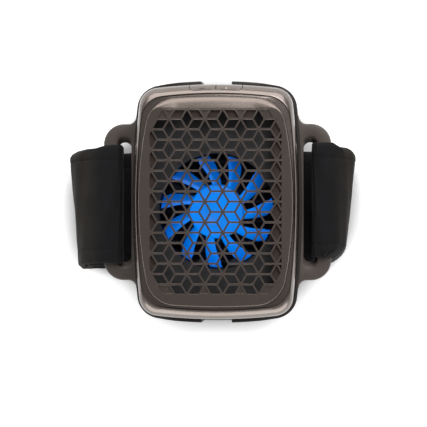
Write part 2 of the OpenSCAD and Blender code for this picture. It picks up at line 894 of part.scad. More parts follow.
module front_housing() {
    inner_o = grow(unit_o, -shell_wall);
    slope = 0.6;
    color(bronze)
    in_unit()
        difference() {
            union() {
                loft(concat(
                    [lift(outline(unit_o), parting_h)],
                    [for (i = [0:shoulder_steps]) shoulder_ring(shoulder_turn * i / shoulder_steps)],
                    [lift(outline(grow(crease_o, -0.2)), crease_h),
                        lift(outline(pocket_o), crease_h),
                        lift(outline(pocket_o), cover_seat_h),
                        lift(outline(seat_o), cover_seat_h),
                        lift(outline(seat_o), cover_seat_h - cover_seat_t),
                        lift(outline(inner_o), cover_seat_h - cover_seat_t - slope),
                        lift(outline(inner_o), parting_h)]), true);
                intersection() {
                    at_corners(case_screw_x, case_screw_y)
                        rod(case_boss_r, parting_h, case_boss_top);
                    slab(grow(unit_o, -shell_wall / 2), parting_h, case_boss_top);
                }
            }
            at_corners(case_screw_x, case_screw_y)
                rod(case_screw_r + thread_gap, parting_h - cut, case_boss_top - 0.6);
            for (i = [0:vents - 1])
                translate([0, (i - (vents - 1) / 2) * vent_pitch, vent_z])
                    box([-unit_w, -vent_w / 2, 0], [unit_w, vent_w / 2, vent_h]);
            box([-buttons_w / 2, pocket_y, button_z], [buttons_w / 2, unit_h, button_z + button_h]);
            box([-buttons_w / 2 - flange_lap - 0.4, flange_y - button_travel - 0.4,
                button_z - flange_lap - 0.3],
                [buttons_w / 2 + flange_lap + 0.4, flange_y + 1.3, cover_seat_h - 0.8]);
            box([-port_w / 2 - 0.3, -unit_h, port_z - port_h / 2 - 0.3],
                [port_w / 2 + 0.3, -unit_h / 4, port_z + port_h / 2 + 0.3]);
        }
}

// ---- Front cover with the lattice grille ----
grille_o = grow(cover_o, -cover_round_w);
skirt_top = unit_d - cover_round_h;

function cover_ring(a) =
    lift(outline(grow(cover_o, -cover_round_w * (1 - cos(a)))), skirt_top + cover_round_h * sin(a));

cell_long = cell_side * sqrt(3);
column_step = cell_side * 1.5;
cell_scale = 1 - rib_w / (cell_side * sin(60));

// Middle and turn of every rhombus near the window
columns = ceil(unit_w / column_step / 2) + 1;
rows = ceil(unit_h / cell_long / 2) + 1;
cells = [for (i = [-columns:columns], j = [-rows:rows], turn = [-30, 30, 90])
    let (star = [star_x + i * column_step,
        star_y + (j + (i % 2 == 0 ? 0 : 0.5)) * cell_long])
    let (c = star + cell_long / 2 * [cos(turn), sin(turn)])
    if (abs(c[0]) < window_w / 2 + cell_side && abs(c[1]) < window_h / 2 + cell_side)
    [c[0], c[1], turn]];

// The window has its four corners cut off
corner_cut_x = 5.2;
corner_cut_y = 9.2;
function in_window(p) =
    let (x = abs(p[0]), y = abs(p[1]))
    x < window_w / 2 - 0.4 && y < window_h / 2 + 0.3
    && (window_w / 2 - x) / corner_cut_x + (window_h / 2 - y) / corner_cut_y > 0.92;

function tips(c) = [for (k = [0:3])
    let (d = (k % 2 == 0) ? cell_long / 2 : cell_side / 2)
    [c[0], c[1]] + cell_scale * d * [cos(c[2] + 90 * k), sin(c[2] + 90 * k)]];

function is_open(c) = let (t = tips(c))
    in_window(t[0]) && in_window(t[1]) && in_window(t[2]) && in_window(t[3]);
function touches(c) = let (t = tips(c))
    !is_open(c) && (in_window(t[0]) || in_window(t[1]) || in_window(t[2]) || in_window(t[3])
        || in_window(c));

module window_2d() {
    w = window_w / 2;
    h = window_h / 2;
    polygon([for (s = [[1, 1], [-1, 1], [-1, -1], [1, -1]])
        let (a = [s[0] * w, s[1] * (h - corner_cut_y)], b = [s[0] * (w - corner_cut_x), s[1] * h])
        for (p = s[0] * s[1] > 0 ? [a, b] : [b, a]) p]);
}

module front_cover() {
    round_steps = 5;
    color(bronze)
    in_unit()
        difference() {
            union() {
                loft(concat(
                    [lift(outline(cover_o), cover_seat_h)],
                    [for (i = [0:round_steps]) cover_ring(90 * i / round_steps)],
                    [lift(outline(grille_o), grille_z),
                        lift(outline(grow(cover_o, -cover_rim_t)), skirt_top - 0.6),
                        lift(outline(grow(cover_o, -cover_rim_t)), cover_seat_h)]), true);
                slab(grow(grille_o, 0.3), grille_z, unit_d - 0.02);
            }
            translate([0, 0, grille_z - cut])
                linear_extrude(grille_t + 2 * cut)
                    for (c = cells)
                        if (is_open(c))
                            polygon(tips(c));
            translate([0, 0, unit_d - blind_depth])
                linear_extrude(blind_depth + cut)
                    intersection() {
                        window_2d();
                        for (c = cells)
                            if (touches(c))
                                polygon(tips(c));
                    }
        }
}

// ---- Buttons ----
module button(side) {
    cap_y = unit_h / 2 - 2.3;
    x0 = button_clear / 2 + 0.05;
    x1 = buttons_w / 2 - button_clear;
    color(bronze)
    in_unit()
        scale([side, 1, 1]) {
            intersection() {
                loft(concat(
                    [lift(outline(unit_o), button_z - 1)],
                    [for (i = [0:shoulder_steps]) shoulder_ring(shoulder_turn * i / shoulder_steps)]));
                box([x0, cap_y, button_z + button_clear],
                    [x1, unit_h, button_z + button_h - button_clear]);
            }
            box([x0, flange_y, button_z - flange_lap + 0.1],
                [x1 + flange_lap, cap_y + 0.01, cover_seat_h - 1.2]);
            box([switch_x - pusher_w / 2, switch_tip_y + button_travel + 0.05, switch_z - pusher_w / 2],
                [switch_x + pusher_w / 2, flange_y + 0.01, switch_z + pusher_w / 2]);
        }
}

module button_left() {
    button(-1);
}

module button_right() {
    button(1);
}

// ---- Electronics ----
switch_w = 6;
switch_l = 2.8;
switch_h = 3;
plunger_l = 0.8;
pusher_w = 2;
switch_x = buttons_w / 4 - cut;
switch_z = board_z + board_t + switch_h / 2;
switch_tip_y = unit_h / 2 - 4.7;
board_end_y = unit_h / 2 - 5;
board_near_y = fan_y + fan_side / 2 + 2.2;
board_half_w = cell_l / 2 + tray_gap + tray_wall + tray_gap;
board_margin = 3;
chip_w = 8;
driver_w = 5;

module main_board() {
    color(board_green)
    in_unit() {
        inside_case()
            box([-board_half_w, board_near_y, board_z],
                [board_half_w, board_end_y, board_z + board_t]);
        board_part(-board_half_w / 2, chip_w, chip_w, 1);
        board_part(board_half_w / 4, driver_w, driver_w, 0.9);
        board_part(board_half_w * 0.7, chip_w, chip_w / 2, 1.2);
    }
}

// A part soldered on the main board, w by l and h high
module board_part(x, w, l, h) {
    box([x - w / 2, board_near_y + board_margin, board_z + board_t - 0.01],
        [x + w / 2, board_near_y + board_margin + l, board_z + board_t + h]);
}

module tact_switches() {
    color("#2a2a2c")
    in_unit()
        for (s = [-1, 1])
            scale([s, 1, 1]) {
                box([switch_x - switch_w / 2, switch_tip_y - plunger_l - switch_l, board_z + board_t],
                    [switch_x + switch_w / 2, switch_tip_y - plunger_l,
                        board_z + board_t + switch_h]);
                box([switch_x - pusher_w / 2, switch_tip_y - plunger_l - 0.01,
                    switch_z - pusher_w / 2],
                    [switch_x + pusher_w / 2, switch_tip_y, switch_z + pusher_w / 2]);
            }
}

module battery_pack() {
    color("#3d6ea8")
    in_unit()
        inside_case()
            for (i = [0, 1])
                translate([0, tray_y + tray_gap + i * (cell_t + cell_gap), 0])
                    box([-cell_l / 2, 0, tray_floor_z + tray_floor_t],
                        [cell_l / 2, cell_t, tray_floor_z + tray_floor_t + cell_h]);
}

cell_gap = 0.2;
tray_end_y = tray_y + 2 * cell_t + cell_gap + 2 * tray_gap;
tray_foot_x = 0.36 * cell_l;

module battery_tray() {
    x = cell_l / 2 + tray_gap;
    color("#29292b")
    in_unit()
        inside_case() {
            box([-x - tray_wall, tray_y, tray_floor_z],
                [x + tray_wall, tray_end_y, tray_floor_z + tray_floor_t]);
            for (s = [-1, 1])
                scale([s, 1, 1])
                    box([x, tray_y + 2, tray_floor_z], [x + tray_wall, tray_end_y, board_z]);
            for (sx = [-1, 1], y = [tray_y + 3, tray_end_y - 6])
                translate([sx * tray_foot_x, y, 0])
                    rod(charge_post_r, pedestal_floor_z, tray_floor_z + cut);
        }
}

module charge_board() {
    color(board_green)
    in_unit()
        box([-charge_half_w, charge_end_y, charge_z],
            [charge_half_w, fan_y - fan_side / 2 - charge_gap, charge_z + board_t]);
}

module usb_c_port() {
    port_l = 7.4;
    shell_t = 0.35;
    mouth_y = -unit_h / 2 + 0.6;
    r = port_h / 2;
    color(metal)
    in_unit()
        translate([0, mouth_y, port_z])
            rotate([-90, 0, 0]) {
                difference() {
                    port_block(port_w / 2, r, 0, port_l);
                    port_block(port_w / 2 - shell_t, r - shell_t, -cut, port_l - 1);
                }
                box([-3.2, -0.35, 1], [3.2, 0.35, port_l - 0.5]);
            }
}

module port_block(half_w, r, z0, z1) {
    translate([0, 0, z0])
        linear_extrude(z1 - z0) {
            square([2 * (half_w - r), 2 * r], center = true);
            for (s = [-1, 1])
                translate([s * (half_w - r), 0])
                    circle(r = r, $fn = round_fn);
        }
}

// ---- Leads inside the unit ----
lead_r = 0.7;

// A lead along straight stretches with round elbows
module lead(points, r = lead_r) {
    for (i = [0:len(points) - 2]) {
        d = points[i + 1] - points[i];
        l = norm(d);
        translate(points[i])
            rotate([0, acos(d[2] / l), atan2(d[1], d[0])])
                cylinder(r = r, h = l, $fn = round_fn);
        if (i > 0)
            translate(points[i])
                sphere(r = r, $fn = round_fn);
    }
}

lead_x = cell_l / 2 - 3;
lead_y = fan_y + sink_l / 2 + lead_r + 0.5;

module_lead_x = 0.3 * module_side;
fan_lead_x = fan_side / 10;
pack_lead_x = 0.12 * cell_l;
notch_gap = 0.5;

module module_lead_notch() {
    r = lead_r + notch_gap;
    z = module_z + module_t / 2;
    for (s = [-1, 1])
        box([s * module_lead_x - r, fan_y, z - r], [s * module_lead_x + r, unit_h, z + r]);
}

module module_leads() {
    z = module_z + module_t / 2;
    colours = ["#b3262b", "#1a1a1a"];
    for (k = [0, 1])
        color(colours[k])
        in_unit()
            lead([[(2 * k - 1) * module_lead_x, fan_y + module_side / 2 + seat_gap, z],
                [(2 * k - 1) * module_lead_x, lead_y, z],
                [(2 * k - 1) * module_lead_x, lead_y, board_z]]);
}

module fan_lead() {
    z = board_z + board_t / 2;
    color("#e0b13a")
    in_unit()
        lead([[fan_lead_x, fan_y + fan_side / 2, z], [fan_lead_x, board_near_y, z]]);
}

module battery_lead() {
    y = tray_y + cell_t / 2;
    low_z = tray_floor_z + tray_floor_t + cell_h;
    run_h = low_z + lead_r + 0.3;
    color("#b3262b")
    in_unit()
        lead([[pack_lead_x, y, low_z], [pack_lead_x, y, run_h], [lead_x, y, run_h],
            [lead_x, y, board_z]]);
}

holder_frame();
strap_band();
strap_hook_tab();
contact_plate();
plate_gasket();
rear_housing();
front_housing();
front_cover();
thermal_pad_lower();
thermoelectric_module();
thermal_pad_upper();
insulation_foam();
heat_sink();
heat_sink_screws();
fan_frame();
fan_stator();
fan_bearing();
fan_shaft();
fan_rotor();
fan_screws();
led_ring();
fan_shroud();
main_board();
tact_switches();
battery_pack();
battery_tray();
charge_board();
usb_c_port();
temperature_sensor();
housing_screws();
module_leads();
fan_lead();
battery_lead();
button_left();
button_right();
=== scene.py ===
"""Looks of a hot and cold therapy unit in its strap cradle.

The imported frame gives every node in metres. Sizes here are millimetres over the floor, and a piece
is scaled to metres when it is finished.
"""

import logging
import math
from dataclasses import astuple, dataclass, field
from enum import Enum
from typing import Callable, Iterable, Sequence

import bmesh
import bpy
from mathutils import Matrix, Vector


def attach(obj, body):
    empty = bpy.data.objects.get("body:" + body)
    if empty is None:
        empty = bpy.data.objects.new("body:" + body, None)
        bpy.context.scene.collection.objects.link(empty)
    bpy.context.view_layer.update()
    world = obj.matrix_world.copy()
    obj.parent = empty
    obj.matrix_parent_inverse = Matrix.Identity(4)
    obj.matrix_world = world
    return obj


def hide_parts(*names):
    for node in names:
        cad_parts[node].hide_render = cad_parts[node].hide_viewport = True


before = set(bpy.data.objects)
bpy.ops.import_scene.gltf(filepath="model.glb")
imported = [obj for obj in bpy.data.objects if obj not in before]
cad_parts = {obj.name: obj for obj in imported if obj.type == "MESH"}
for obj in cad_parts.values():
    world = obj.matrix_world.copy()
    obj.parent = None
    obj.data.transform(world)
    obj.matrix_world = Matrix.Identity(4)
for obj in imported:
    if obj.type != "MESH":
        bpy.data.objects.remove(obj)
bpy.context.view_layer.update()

LOG = logging.getLogger("therapy_unit")
MM = 0.001
UNIT_Z = 5.4  # Height of the contact face over the floor.
OUTWARD = (0.0, 0.7, 0.7)  # Way that the buttons face, out and up.

Ring = list[bmesh.types.BMVert]
Colour = tuple[float, float, float]


class Body(Enum):
    """Bodies of the frame that pieces ride on."""

    CRADLE = "cradle"
    UNIT = "unit"
    ROTOR = "rotor"
    BUTTON_LEFT = "button_left"
    BUTTON_RIGHT = "button_right"


def ease(low: float, high: float, x: float) -> float:
    """Smooth step of x from 0 at low to 1 at high."""
    t = min(1.0, max(0.0, (x - low) / (high - low)))
    return t * t * (3 - 2 * t)


# ---- Outlines ----------------------------------------------------------------------------------
@dataclass(frozen=True)
class Outline:
    """Closed outline with bowed sides and ends and tangent corner arcs."""

    half_w: float
    half_h: float
    side_r: float
    end_r: float
    corner_r: float

    def grow(self, d: float) -> "Outline":
        """The outline moved outwards by d."""
        w, h, s, e, c = astuple(self)
        return Outline(w + d, h + d, s + d, e + d, max(c + d, 1.0))

    def mix(self, other: "Outline", t: float) -> "Outline":
        """The outline between this one and another, at share t."""
        return Outline(*(a * (1 - t) + b * t for a, b in zip(astuple(self), astuple(other))))

    def side_x(self, y: float) -> float:
        """Half width at y, on the bowed side."""
        return self.half_w - self.side_r + math.sqrt(self.side_r**2 - y * y)

    def end_y(self, x: float) -> float:
        """Half height at x, on the bowed end."""
        return self.half_h - self.end_r + math.sqrt(self.end_r**2 - x * x)

    def corner(self) -> tuple[float, float]:
        """Finds the corner arc, which touches the side and the end from inside.

        Returns:
            Centre of the arc, as x and y.
        """
        x1, r1 = self.half_w - self.side_r, self.side_r - self.corner_r
        y2, r2 = self.half_h - self.end_r, self.end_r - self.corner_r
        d = math.hypot(x1, y2)
        a = (r1 * r1 - r2 * r2 + d * d) / (2 * d)
        h = math.sqrt(r1 * r1 - a * a)
        return x1 - (a * x1 + h * y2) / d, (a * y2 - h * x1) / d

    def points(
        self,
        z: float,
        rows: Sequence[float] = (0, 8, 16, 24),
        columns: Sequence[float] = (15, 10, 5, 0),
        steps: int = 16,
    ) -> list[Vector]:
        """Points all round, anticlockwise from the +X axis.

        Args:
            z: Height of all points.
            rows: Places of points on the sides, as growing y from 0.
            columns: Places of points on the ends, as falling x to 0.
            steps: Spans of a corner arc.

        Returns:
            The points, as many for each outline with the same rows, columns and steps.
        """
        cx, cy = self.corner()
        a1 = math.atan2(cy, cx - self.half_w + self.side_r)
        a2 = math.atan2(cy - self.half_h + self.end_r, cx)
        last = self.side_r * math.sin(a1)
        spread = [rows[-1] + (last - rows[-1]) * t for t in (0.35, 0.7)]
        first = self.end_r * math.cos(a2)
        reach = [first + (columns[0] - first) * t for t in (0.35, 0.7)]
        quarter = [(self.side_x(y), y) for y in (*rows, *spread)]
        for i in range(steps + 1):
            a = a1 + (a2 - a1) * i / steps
            quarter.append((cx + self.corner_r * math.cos(a), cy + self.corner_r * math.sin(a)))
        quarter += [(x, self.end_y(x)) for x in (*reach, *columns)]
        back = [(-x, y) for x, y in quarter[-2::-1]]
        low = [(-x, -y) for x, y in quarter[1:]]
        right = [(x, -y) for x, y in quarter[-2:0:-1]]
        return [Vector((x, y, z)) for x, y in (*quarter, *back, *low, *right)]


UNIT = Outline(34.0, 48.6, 370.0, 206.0, 8.0)
CREASE = Outline(32.8, 44.8, 296.0, 185.4, 10.25)
COVER = Outline(31.9, 43.35, 166.5, 236.9, 12.5)


# ---- Shapes ------------------------------------------------------------------------------------
class Shape:
    """A mesh in the making, drawn out of rings of vertices, in millimetres."""

    def __init__(self) -> None:
        """Starts an empty mesh."""
        self.bm = bmesh.new()
        self.ring: Ring = []
        self.first: Ring = []

    def start(self, points: Sequence[Vector]) -> Ring:
        """Lays the first ring of a tube.

        Args:
            points: Places of the ring's vertices, in order.

        Returns:
            The ring.
        """
        made = bmesh.ops.create_circle(self.bm, segments=len(points), radius=1.0)["verts"]
        for vert, point in zip(made, points):
            vert.co = point
        self.ring = self.first = list(made)
        return self.ring

    def edges(self, ring: Ring) -> list[bmesh.types.BMEdge]:
        """The edges that join a ring's neighbours."""
        return [self.bm.edges.get((a, b)) for a, b in zip(ring, ring[1:] + ring[:1])]

    def pull(self, points: Sequence[Vector]) -> Ring:
        """Extrudes the last ring onto new places.

        Args:
            points: Places of the new ring's vertices, in the order of the old ring.

        Returns:
            The new ring.
        """
        made = bmesh.ops.extrude_edge_only(self.bm, edges=self.edges(self.ring))["geom"]
        fresh = {g for g in made if isinstance(g, bmesh.types.BMVert)}
        new = []
        for vert, point in zip(self.ring, points):
            twin = next(e.other_vert(vert) for e in vert.link_edges if e.other_vert(vert) in fresh)
            twin.co = point
            new.append(twin)
        self.ring = new
        return new

    def close(self) -> None:
        """Joins the last ring to the first."""
        self.pull([v.co.copy() for v in self.first])
        self.weld()

    def weld(self) -> None:
        """Merges vertices that lie together."""
        bmesh.ops.remove_doubles(self.bm, verts=self.bm.verts, dist=1e-4)

    def cap(self, ring: Ring) -> None:
        """Closes a ring with one face."""
        bmesh.ops.contextual_create(self.bm, geom=self.edges(ring))

    def plate(self, rings: Iterable[Ring]) -> None:
        """Fills between an outer ring and the rings of its holes."""
        edges = [e for ring in rings for e in self.edges(ring)]
        bmesh.ops.triangle_fill(self.bm, use_beauty=True, use_dissolve=False, edges=edges)

    def bevel(self, edges: Iterable[bmesh.types.BMEdge], width: float, steps: int = 2) -> None:
        """Rounds edges off.

        Args:
            edges: The edges.
            width: How far the round reaches on each side.
            steps: Faces across the round.
        """
        bmesh.ops.bevel(
            self.bm,
            geom=list(edges),
            offset=width,
            offset_type="OFFSET",
            segments=steps,
            profile=0.5,
            affect="EDGES",
            clamp_overlap=True,
            material=-1,
        )

    def finish(
        self,
        name: str,
        finish: "Finish",
        body: Body,
        slot: str,
        nodes: Sequence[str] = (),
        crease: float = 32.0,
    ) -> bpy.types.Object:
        """Makes the object of a finished shape.

        Args:
            name: Name of the piece.
            finish: What the surface is made of.
            body: Body that the piece rides on.
            slot: Material slot of the record; not used.
            nodes: CAD nodes that the piece stands for.
            crease: Angle in degrees over which an edge stays sharp.

        Returns:
            The object, riding on its body.
        """
        bm = self.bm
        bmesh.ops.recalc_face_normals(bm, faces=bm.faces)
        for face in bm.faces:
            face.smooth = True
        for edge in bm.edges:
            if len(edge.link_faces) == 2:
                edge.smooth = edge.calc_face_angle(0.0) < math.radians(crease)
        bmesh.ops.scale(bm, vec=(MM, MM, MM), verts=bm.verts)
        mesh = bpy.data.meshes.new(name)
        bm.to_mesh(mesh)
        bm.free()
        piece = bpy.data.objects.new(name, mesh)
        bpy.context.scene.collection.objects.link(piece)
        mesh.materials.append(finish.material())
        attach(piece, body.value)
        if nodes:
            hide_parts(*nodes)
        LOG.info("%s: %d faces on %s", name, len(mesh.polygons), body.value)
        return piece


def absorb(bm: bmesh.types.BMesh, part: bmesh.types.BMesh) -> None:
    """Adds one mesh to another and frees it.

    Args:
        bm: Mesh that grows.
        part: Mesh that is added.
    """
    loose = bpy.data.meshes.new("part")
    part.to_mesh(loose)
    part.free()
    bm.from_mesh(loose)
    bpy.data.meshes.remove(loose)


# ---- Shader nodes ------------------------------------------------------------------------------
class Nodes:
    """Adds shader nodes to one tree and joins their sockets."""

    def __init__(self, tree: bpy.types.NodeTree) -> None:
        """Keeps the tree."""
        self.tree = tree

    def add(self, kind: str, inputs: dict | None = None, **settings: object) -> bpy.types.Node:
        """Adds a node.

        Args:
            kind: Type of the node, without its ShaderNode prefix.
            inputs: Sockets to join, or values to set, by the input's name or number.
            settings: Properties of the node.

        Returns:
            The node.
        """
        prefix = "" if kind.startswith("Node") else "ShaderNode"
        node = self.tree.nodes.new(prefix + kind)
        for name, value in settings.items():
            setattr(node, name, value)
        for key, value in (inputs or {}).items():
            if isinstance(value, bpy.types.NodeSocket):
                self.tree.links.new(value, node.inputs[key])
            else:
                node.inputs[key].default_value = value
        return node

    def mix(self, share: object, a: object, b: object) -> bpy.types.NodeSocket:
        """A colour between a and b."""
        inputs = {0: share, 6: paint(a), 7: paint(b)}
        return self.add("Mix", inputs, data_type="RGBA").outputs[2]

    def shade(self, colour: object, share: float) -> bpy.types.NodeSocket:
        """A colour made darker or lighter by a share."""
        inputs = {0: 1.0, 6: paint(colour), 7: (share, share, share, 1.0)}
        return self.add("Mix", inputs, data_type="RGBA", blend_type="MULTIPLY").outputs[2]

    def span(self, value: object, low: float, high: float) -> bpy.types.NodeSocket:
        """Value from 0 to 1 spread from low to high."""
        return self.add("MapRange", {0: value, 3: low, 4: high}).outputs[0]

    def math(self, kind: str, a: object, b: object = 0.0) -> bpy.types.NodeSocket:
        """A sum, product or other operation on two numbers."""
        return self.add("Math", {0: a, 1: b}, operation=kind).outputs[0]

    def ramp(self, value: object, stops: Sequence[tuple[float, Colour]]) -> bpy.types.NodeSocket:
        """A colour ramp over a value.

        Args:
            value: Value from 0 to 1.
            stops: Places and colours, as many as the ramp gets.

        Returns:
            The colour.
        """
        node = self.add("ValToRGB", {0: value})
        elements = node.color_ramp.elements
        while len(elements) < len(stops):
            elements.new(0.5)
        for element, (place, colour) in zip(elements, stops):
            element.position = place
            element.color = paint(colour)
        return node.outputs[0]


def paint(colour: object) -> object:
    """A colour with its alpha, or the socket as it is."""
    return (*colour, 1.0) if isinstance(colour, tuple) and len(colour) == 3 else colour


def srgb(red: int, green: int, blue: int) -> Colour:
    """A screen colour as linear light."""
    share = [c / 255 for c in (red, green, blue)]
    return tuple(c / 12.92 if c <= 0.04045 else ((c + 0.055) / 1.055) ** 2.4 for c in share)


def group(name: str, inputs: Sequence[tuple[str, str, float]], outputs: Sequence[str]) -> tuple:
    """Starts a shader node group.

    Args:
        name: Name of the group.
        inputs: Name, socket type and first value of each input.
        outputs: Names of the outputs, which are numbers.

    Returns:
        The group's nodes, its input node and its output node.
    """
    tree = bpy.data.node_groups.new(name, "ShaderNodeTree")
    for label, kind, value in inputs:
        made = tree.interface.new_socket(label, in_out="INPUT", socket_type="NodeSocket" + kind)
        if kind == "Float":
            made.default_value = value
    for label in outputs:
        tree.interface.new_socket(label, in_out="OUTPUT", socket_type="NodeSocketFloat")
    nodes = Nodes(tree)
    return nodes, nodes.add("NodeGroupInput"), nodes.add("NodeGroupOutput")


def grain_group() -> bpy.types.NodeTree:
    """Fine grain of a moulded or cast surface, with slow changes of tone and of polish.

    Returns:
        The node group.
    """
    name = "surface_grain"
    if name in bpy.data.node_groups:
        return bpy.data.node_groups[name]
    n, start, end = group(name, [("Vector", "Vector", 0), ("Fineness", "Float", 3000)],
                          ["Height", "Tone", "Polish"])
    at, fine = start.outputs[0], start.outputs[1]
    pores = n.add("TexNoise", {"Vector": at, "Scale": fine, "Detail": 3.0, "Roughness": 0.6})
    cells = n.add("TexVoronoi", {"Vector": at, "Scale": n.math("MULTIPLY", fine, 0.6)})
    height = n.math("ADD", pores.outputs[0], n.math("MULTIPLY", cells.outputs[0], 0.5))
    tone = n.add("TexNoise", {"Vector": at, "Scale": 45.0, "Detail": 4.0, "Roughness": 0.55})
    smear = n.add("TexNoise", {"Vector": at, "Scale": 110.0, "Detail": 5.0, "Distortion": 0.6})
    for key, value in enumerate((height, tone.outputs[0], smear.outputs[0])):
        n.tree.links.new(value, end.inputs[key])
    return n.tree


def brush_group() -> bpy.types.NodeTree:
    """Parallel marks of a brushed or drawn metal surface.

    Returns:
        The node group.
    """
    name = "brush_marks"
    if name in bpy.data.node_groups:
        return bpy.data.node_groups[name]
    n, start, end = group(name, [("Vector", "Vector", 0), ("Stretch", "Float", 0.02)],
                          ["Height", "Tone"])
    scale = n.add("CombineXYZ", {0: start.outputs[1], 1: 1.0, 2: 1.0})
    at = n.add("VectorMath", {0: start.outputs[0], 1: scale.outputs[0]}, operation="MULTIPLY")
    marks = n.add("TexNoise", {"Vector": at.outputs[0], "Scale": 4200.0, "Detail": 2.0})
    tone = n.add("TexNoise", {"Vector": at.outputs[0], "Scale": 600.0, "Detail": 3.0})
    n.tree.links.new(marks.outputs[0], end.inputs[0])
    n.tree.links.new(tone.outputs[0], end.inputs[1])
    return n.tree


def weave_group() -> bpy.types.NodeTree:
    """Plain weave of ribbed webbing over a UV map in millimetres.

    Returns:
        The node group.
    """
    name = "webbing_weave"
    if name in bpy.data.node_groups:
        return bpy.data.node_groups[name]
    n, start, end = group(name, [("Vector", "Vector", 0), ("Pitch", "Float", 1.0)],
                          ["Height", "Tone"])
    parts = n.add("SeparateXYZ", {0: start.outputs[0]})
    wave = []
    for axis, stretch in ((0, 1.0), (1, 0.62)):
        turn = n.math("DIVIDE", n.math("MULTIPLY", parts.outputs[axis], math.pi),
                      n.math("MULTIPLY", start.outputs[1], stretch))
        wave.append(n.math("SINE", turn))
    over = n.math("MULTIPLY", wave[0], wave[1])
    ribs = n.math("ABSOLUTE", wave[1])
    fuzz = n.add("TexNoise", {"Vector": start.outputs[0], "Scale": 2.4, "Detail": 4.0})
    height = n.math("ADD", n.math("ADD", n.math("MULTIPLY", over, 0.35), ribs), fuzz.outputs[0])
    tone = n.add("TexNoise", {"Vector": start.outputs[0], "Scale": 0.12, "Detail": 5.0})
    n.tree.links.new(n.math("MULTIPLY", height, 0.5), end.inputs[0])
    n.tree.links.new(n.math("ADD", n.math("MULTIPLY", tone.outputs[0], 0.8),
                            n.math("MULTIPLY", over, 0.12)), end.inputs[1])
    return n.tree


# ---- Finishes ----------------------------------------------------------------------------------
@dataclass(frozen=True)
class Finish:
    """Base of the finishes: a named material, made once."""

    name: str

    def material(self) -> bpy.types.Material:
        """Makes the material at its first use.

        Returns:
            The material of this finish.
        """
        label = self.name + "_finish"
        if label in bpy.data.materials:
            return bpy.data.materials[label]
        made = bpy.data.materials.new(label)
        made.use_nodes = True
        nodes = Nodes(made.node_tree)
        self.dress(nodes, made.node_tree.nodes["Principled BSDF"])
        return made

    def dress(self, n: Nodes, shader: bpy.types.Node) -> None:
        """Joins the pattern of this finish to the shader."""
        raise NotImplementedError

    @staticmethod
    def place(n: Nodes) -> bpy.types.NodeSocket:
        """Object coordinates of the surface."""
        return n.add("TexCoord").outputs["Object"]

    @staticmethod
    def bump(n: Nodes, shader: bpy.types.Node, height: object, depth: float, share: float) -> None:
        """Joins a height from 0 to 1, depth millimetres deep, to the shader's normal."""
        made = n.add("Bump", {"Height": height, "Strength": share, "Distance": depth * MM})
        n.tree.links.new(made.outputs[0], shader.inputs["Normal"])


@dataclass(frozen=True)
class MouldedPlastic(Finish):
    """Moulded or painted plastic, soft rubber and foam."""

    colour: Colour = (0.05, 0.05, 0.05)
    rough: float = 0.45
    metal: float = 0.0
    coat: float = 0.0
    coat_rough: float = 0.12
    tone: float = 0.12
    fine: float = 3000.0
    relief: float = 0.25
    depth: float = 0.05
    specular: float = 0.5

    def dress(self, n: Nodes, shader: bpy.types.Node) -> None:
        """Joins grain, tone and polish to the shader.

        Args:
            n: Nodes of the material.
            shader: Its shader.
        """
        grain = n.add("Group", node_tree=grain_group())
        n.tree.links.new(self.place(n), grain.inputs[0])
        grain.inputs[1].default_value = self.fine
        dark = tuple(c * (1 - self.tone) for c in self.colour)
        light = tuple(min(1.0, c * (1 + self.tone)) for c in self.colour)
        n.tree.links.new(n.mix(grain.outputs[1], dark, light), shader.inputs["Base Color"])
        polish = n.span(grain.outputs[2], self.rough - 0.06, self.rough + 0.06)
        n.tree.links.new(polish, shader.inputs["Roughness"])
        shader.inputs["Metallic"].default_value = self.metal
        shader.inputs["Coat Weight"].default_value = self.coat
        shader.inputs["Coat Roughness"].default_value = self.coat_rough
        shader.inputs["Specular IOR Level"].default_value = self.specular
        self.bump(n, shader, grain.outputs[0], self.depth, self.relief)


@dataclass(frozen=True)
class DrawnMetal(Finish):
    """Brushed, drawn or turned metal."""

    colour: Colour = (0.6, 0.6, 0.62)
    rough: float = 0.34
    stretch: float = 0.02
    relief: float = 0.12

    def dress(self, n: Nodes, shader: bpy.types.Node) -> None:
        """Joins the brush marks to the shader.

        Args:
            n: Nodes of the material.
            shader: Its shader.
        """
        marks = n.add("Group", node_tree=brush_group())
        n.tree.links.new(self.place(n), marks.inputs[0])
        marks.inputs[1].default_value = self.stretch
        dark = tuple(c * 0.82 for c in self.colour)
        n.tree.links.new(n.mix(marks.outputs[1], dark, self.colour), shader.inputs["Base Color"])
        polish = n.span(marks.outputs[1], self.rough - 0.08, self.rough + 0.1)
        n.tree.links.new(polish, shader.inputs["Roughness"])
        shader.inputs["Metallic"].default_value = 1.0
        self.bump(n, shader, marks.outputs[0], 0.02, self.relief)


@dataclass(frozen=True)
class CircuitBoard(Finish):
    """Green solder mask over copper tracks."""

    def dress(self, n: Nodes, shader: bpy.types.Node) -> None:
        """Joins tracks and pads to the shader.

        Args:
            n: Nodes of the material.
            shader: Its shader.
        """
        at = self.place(n)
        tracks = n.add("TexBrick", {"Vector": at, "Scale": 420.0, "Mortar Size": 0.03,
                                    "Brick Width": 0.9, "Row Height": 0.3})
        pads = n.add("TexVoronoi", {"Vector": at, "Scale": 300.0})
        mask = n.mix(tracks.outputs[1], (0.012, 0.09, 0.045), (0.02, 0.16, 0.07))
        dots = n.math("LESS_THAN", pads.outputs[0], 0.16)
        n.tree.links.new(n.mix(dots, mask, (0.62, 0.55, 0.38)), shader.inputs["Base Color"])
        n.tree.links.new(n.span(dots, 0.36, 0.24), shader.inputs["Roughness"])
        self.bump(n, shader, tracks.outputs[1], 0.04, 0.3)


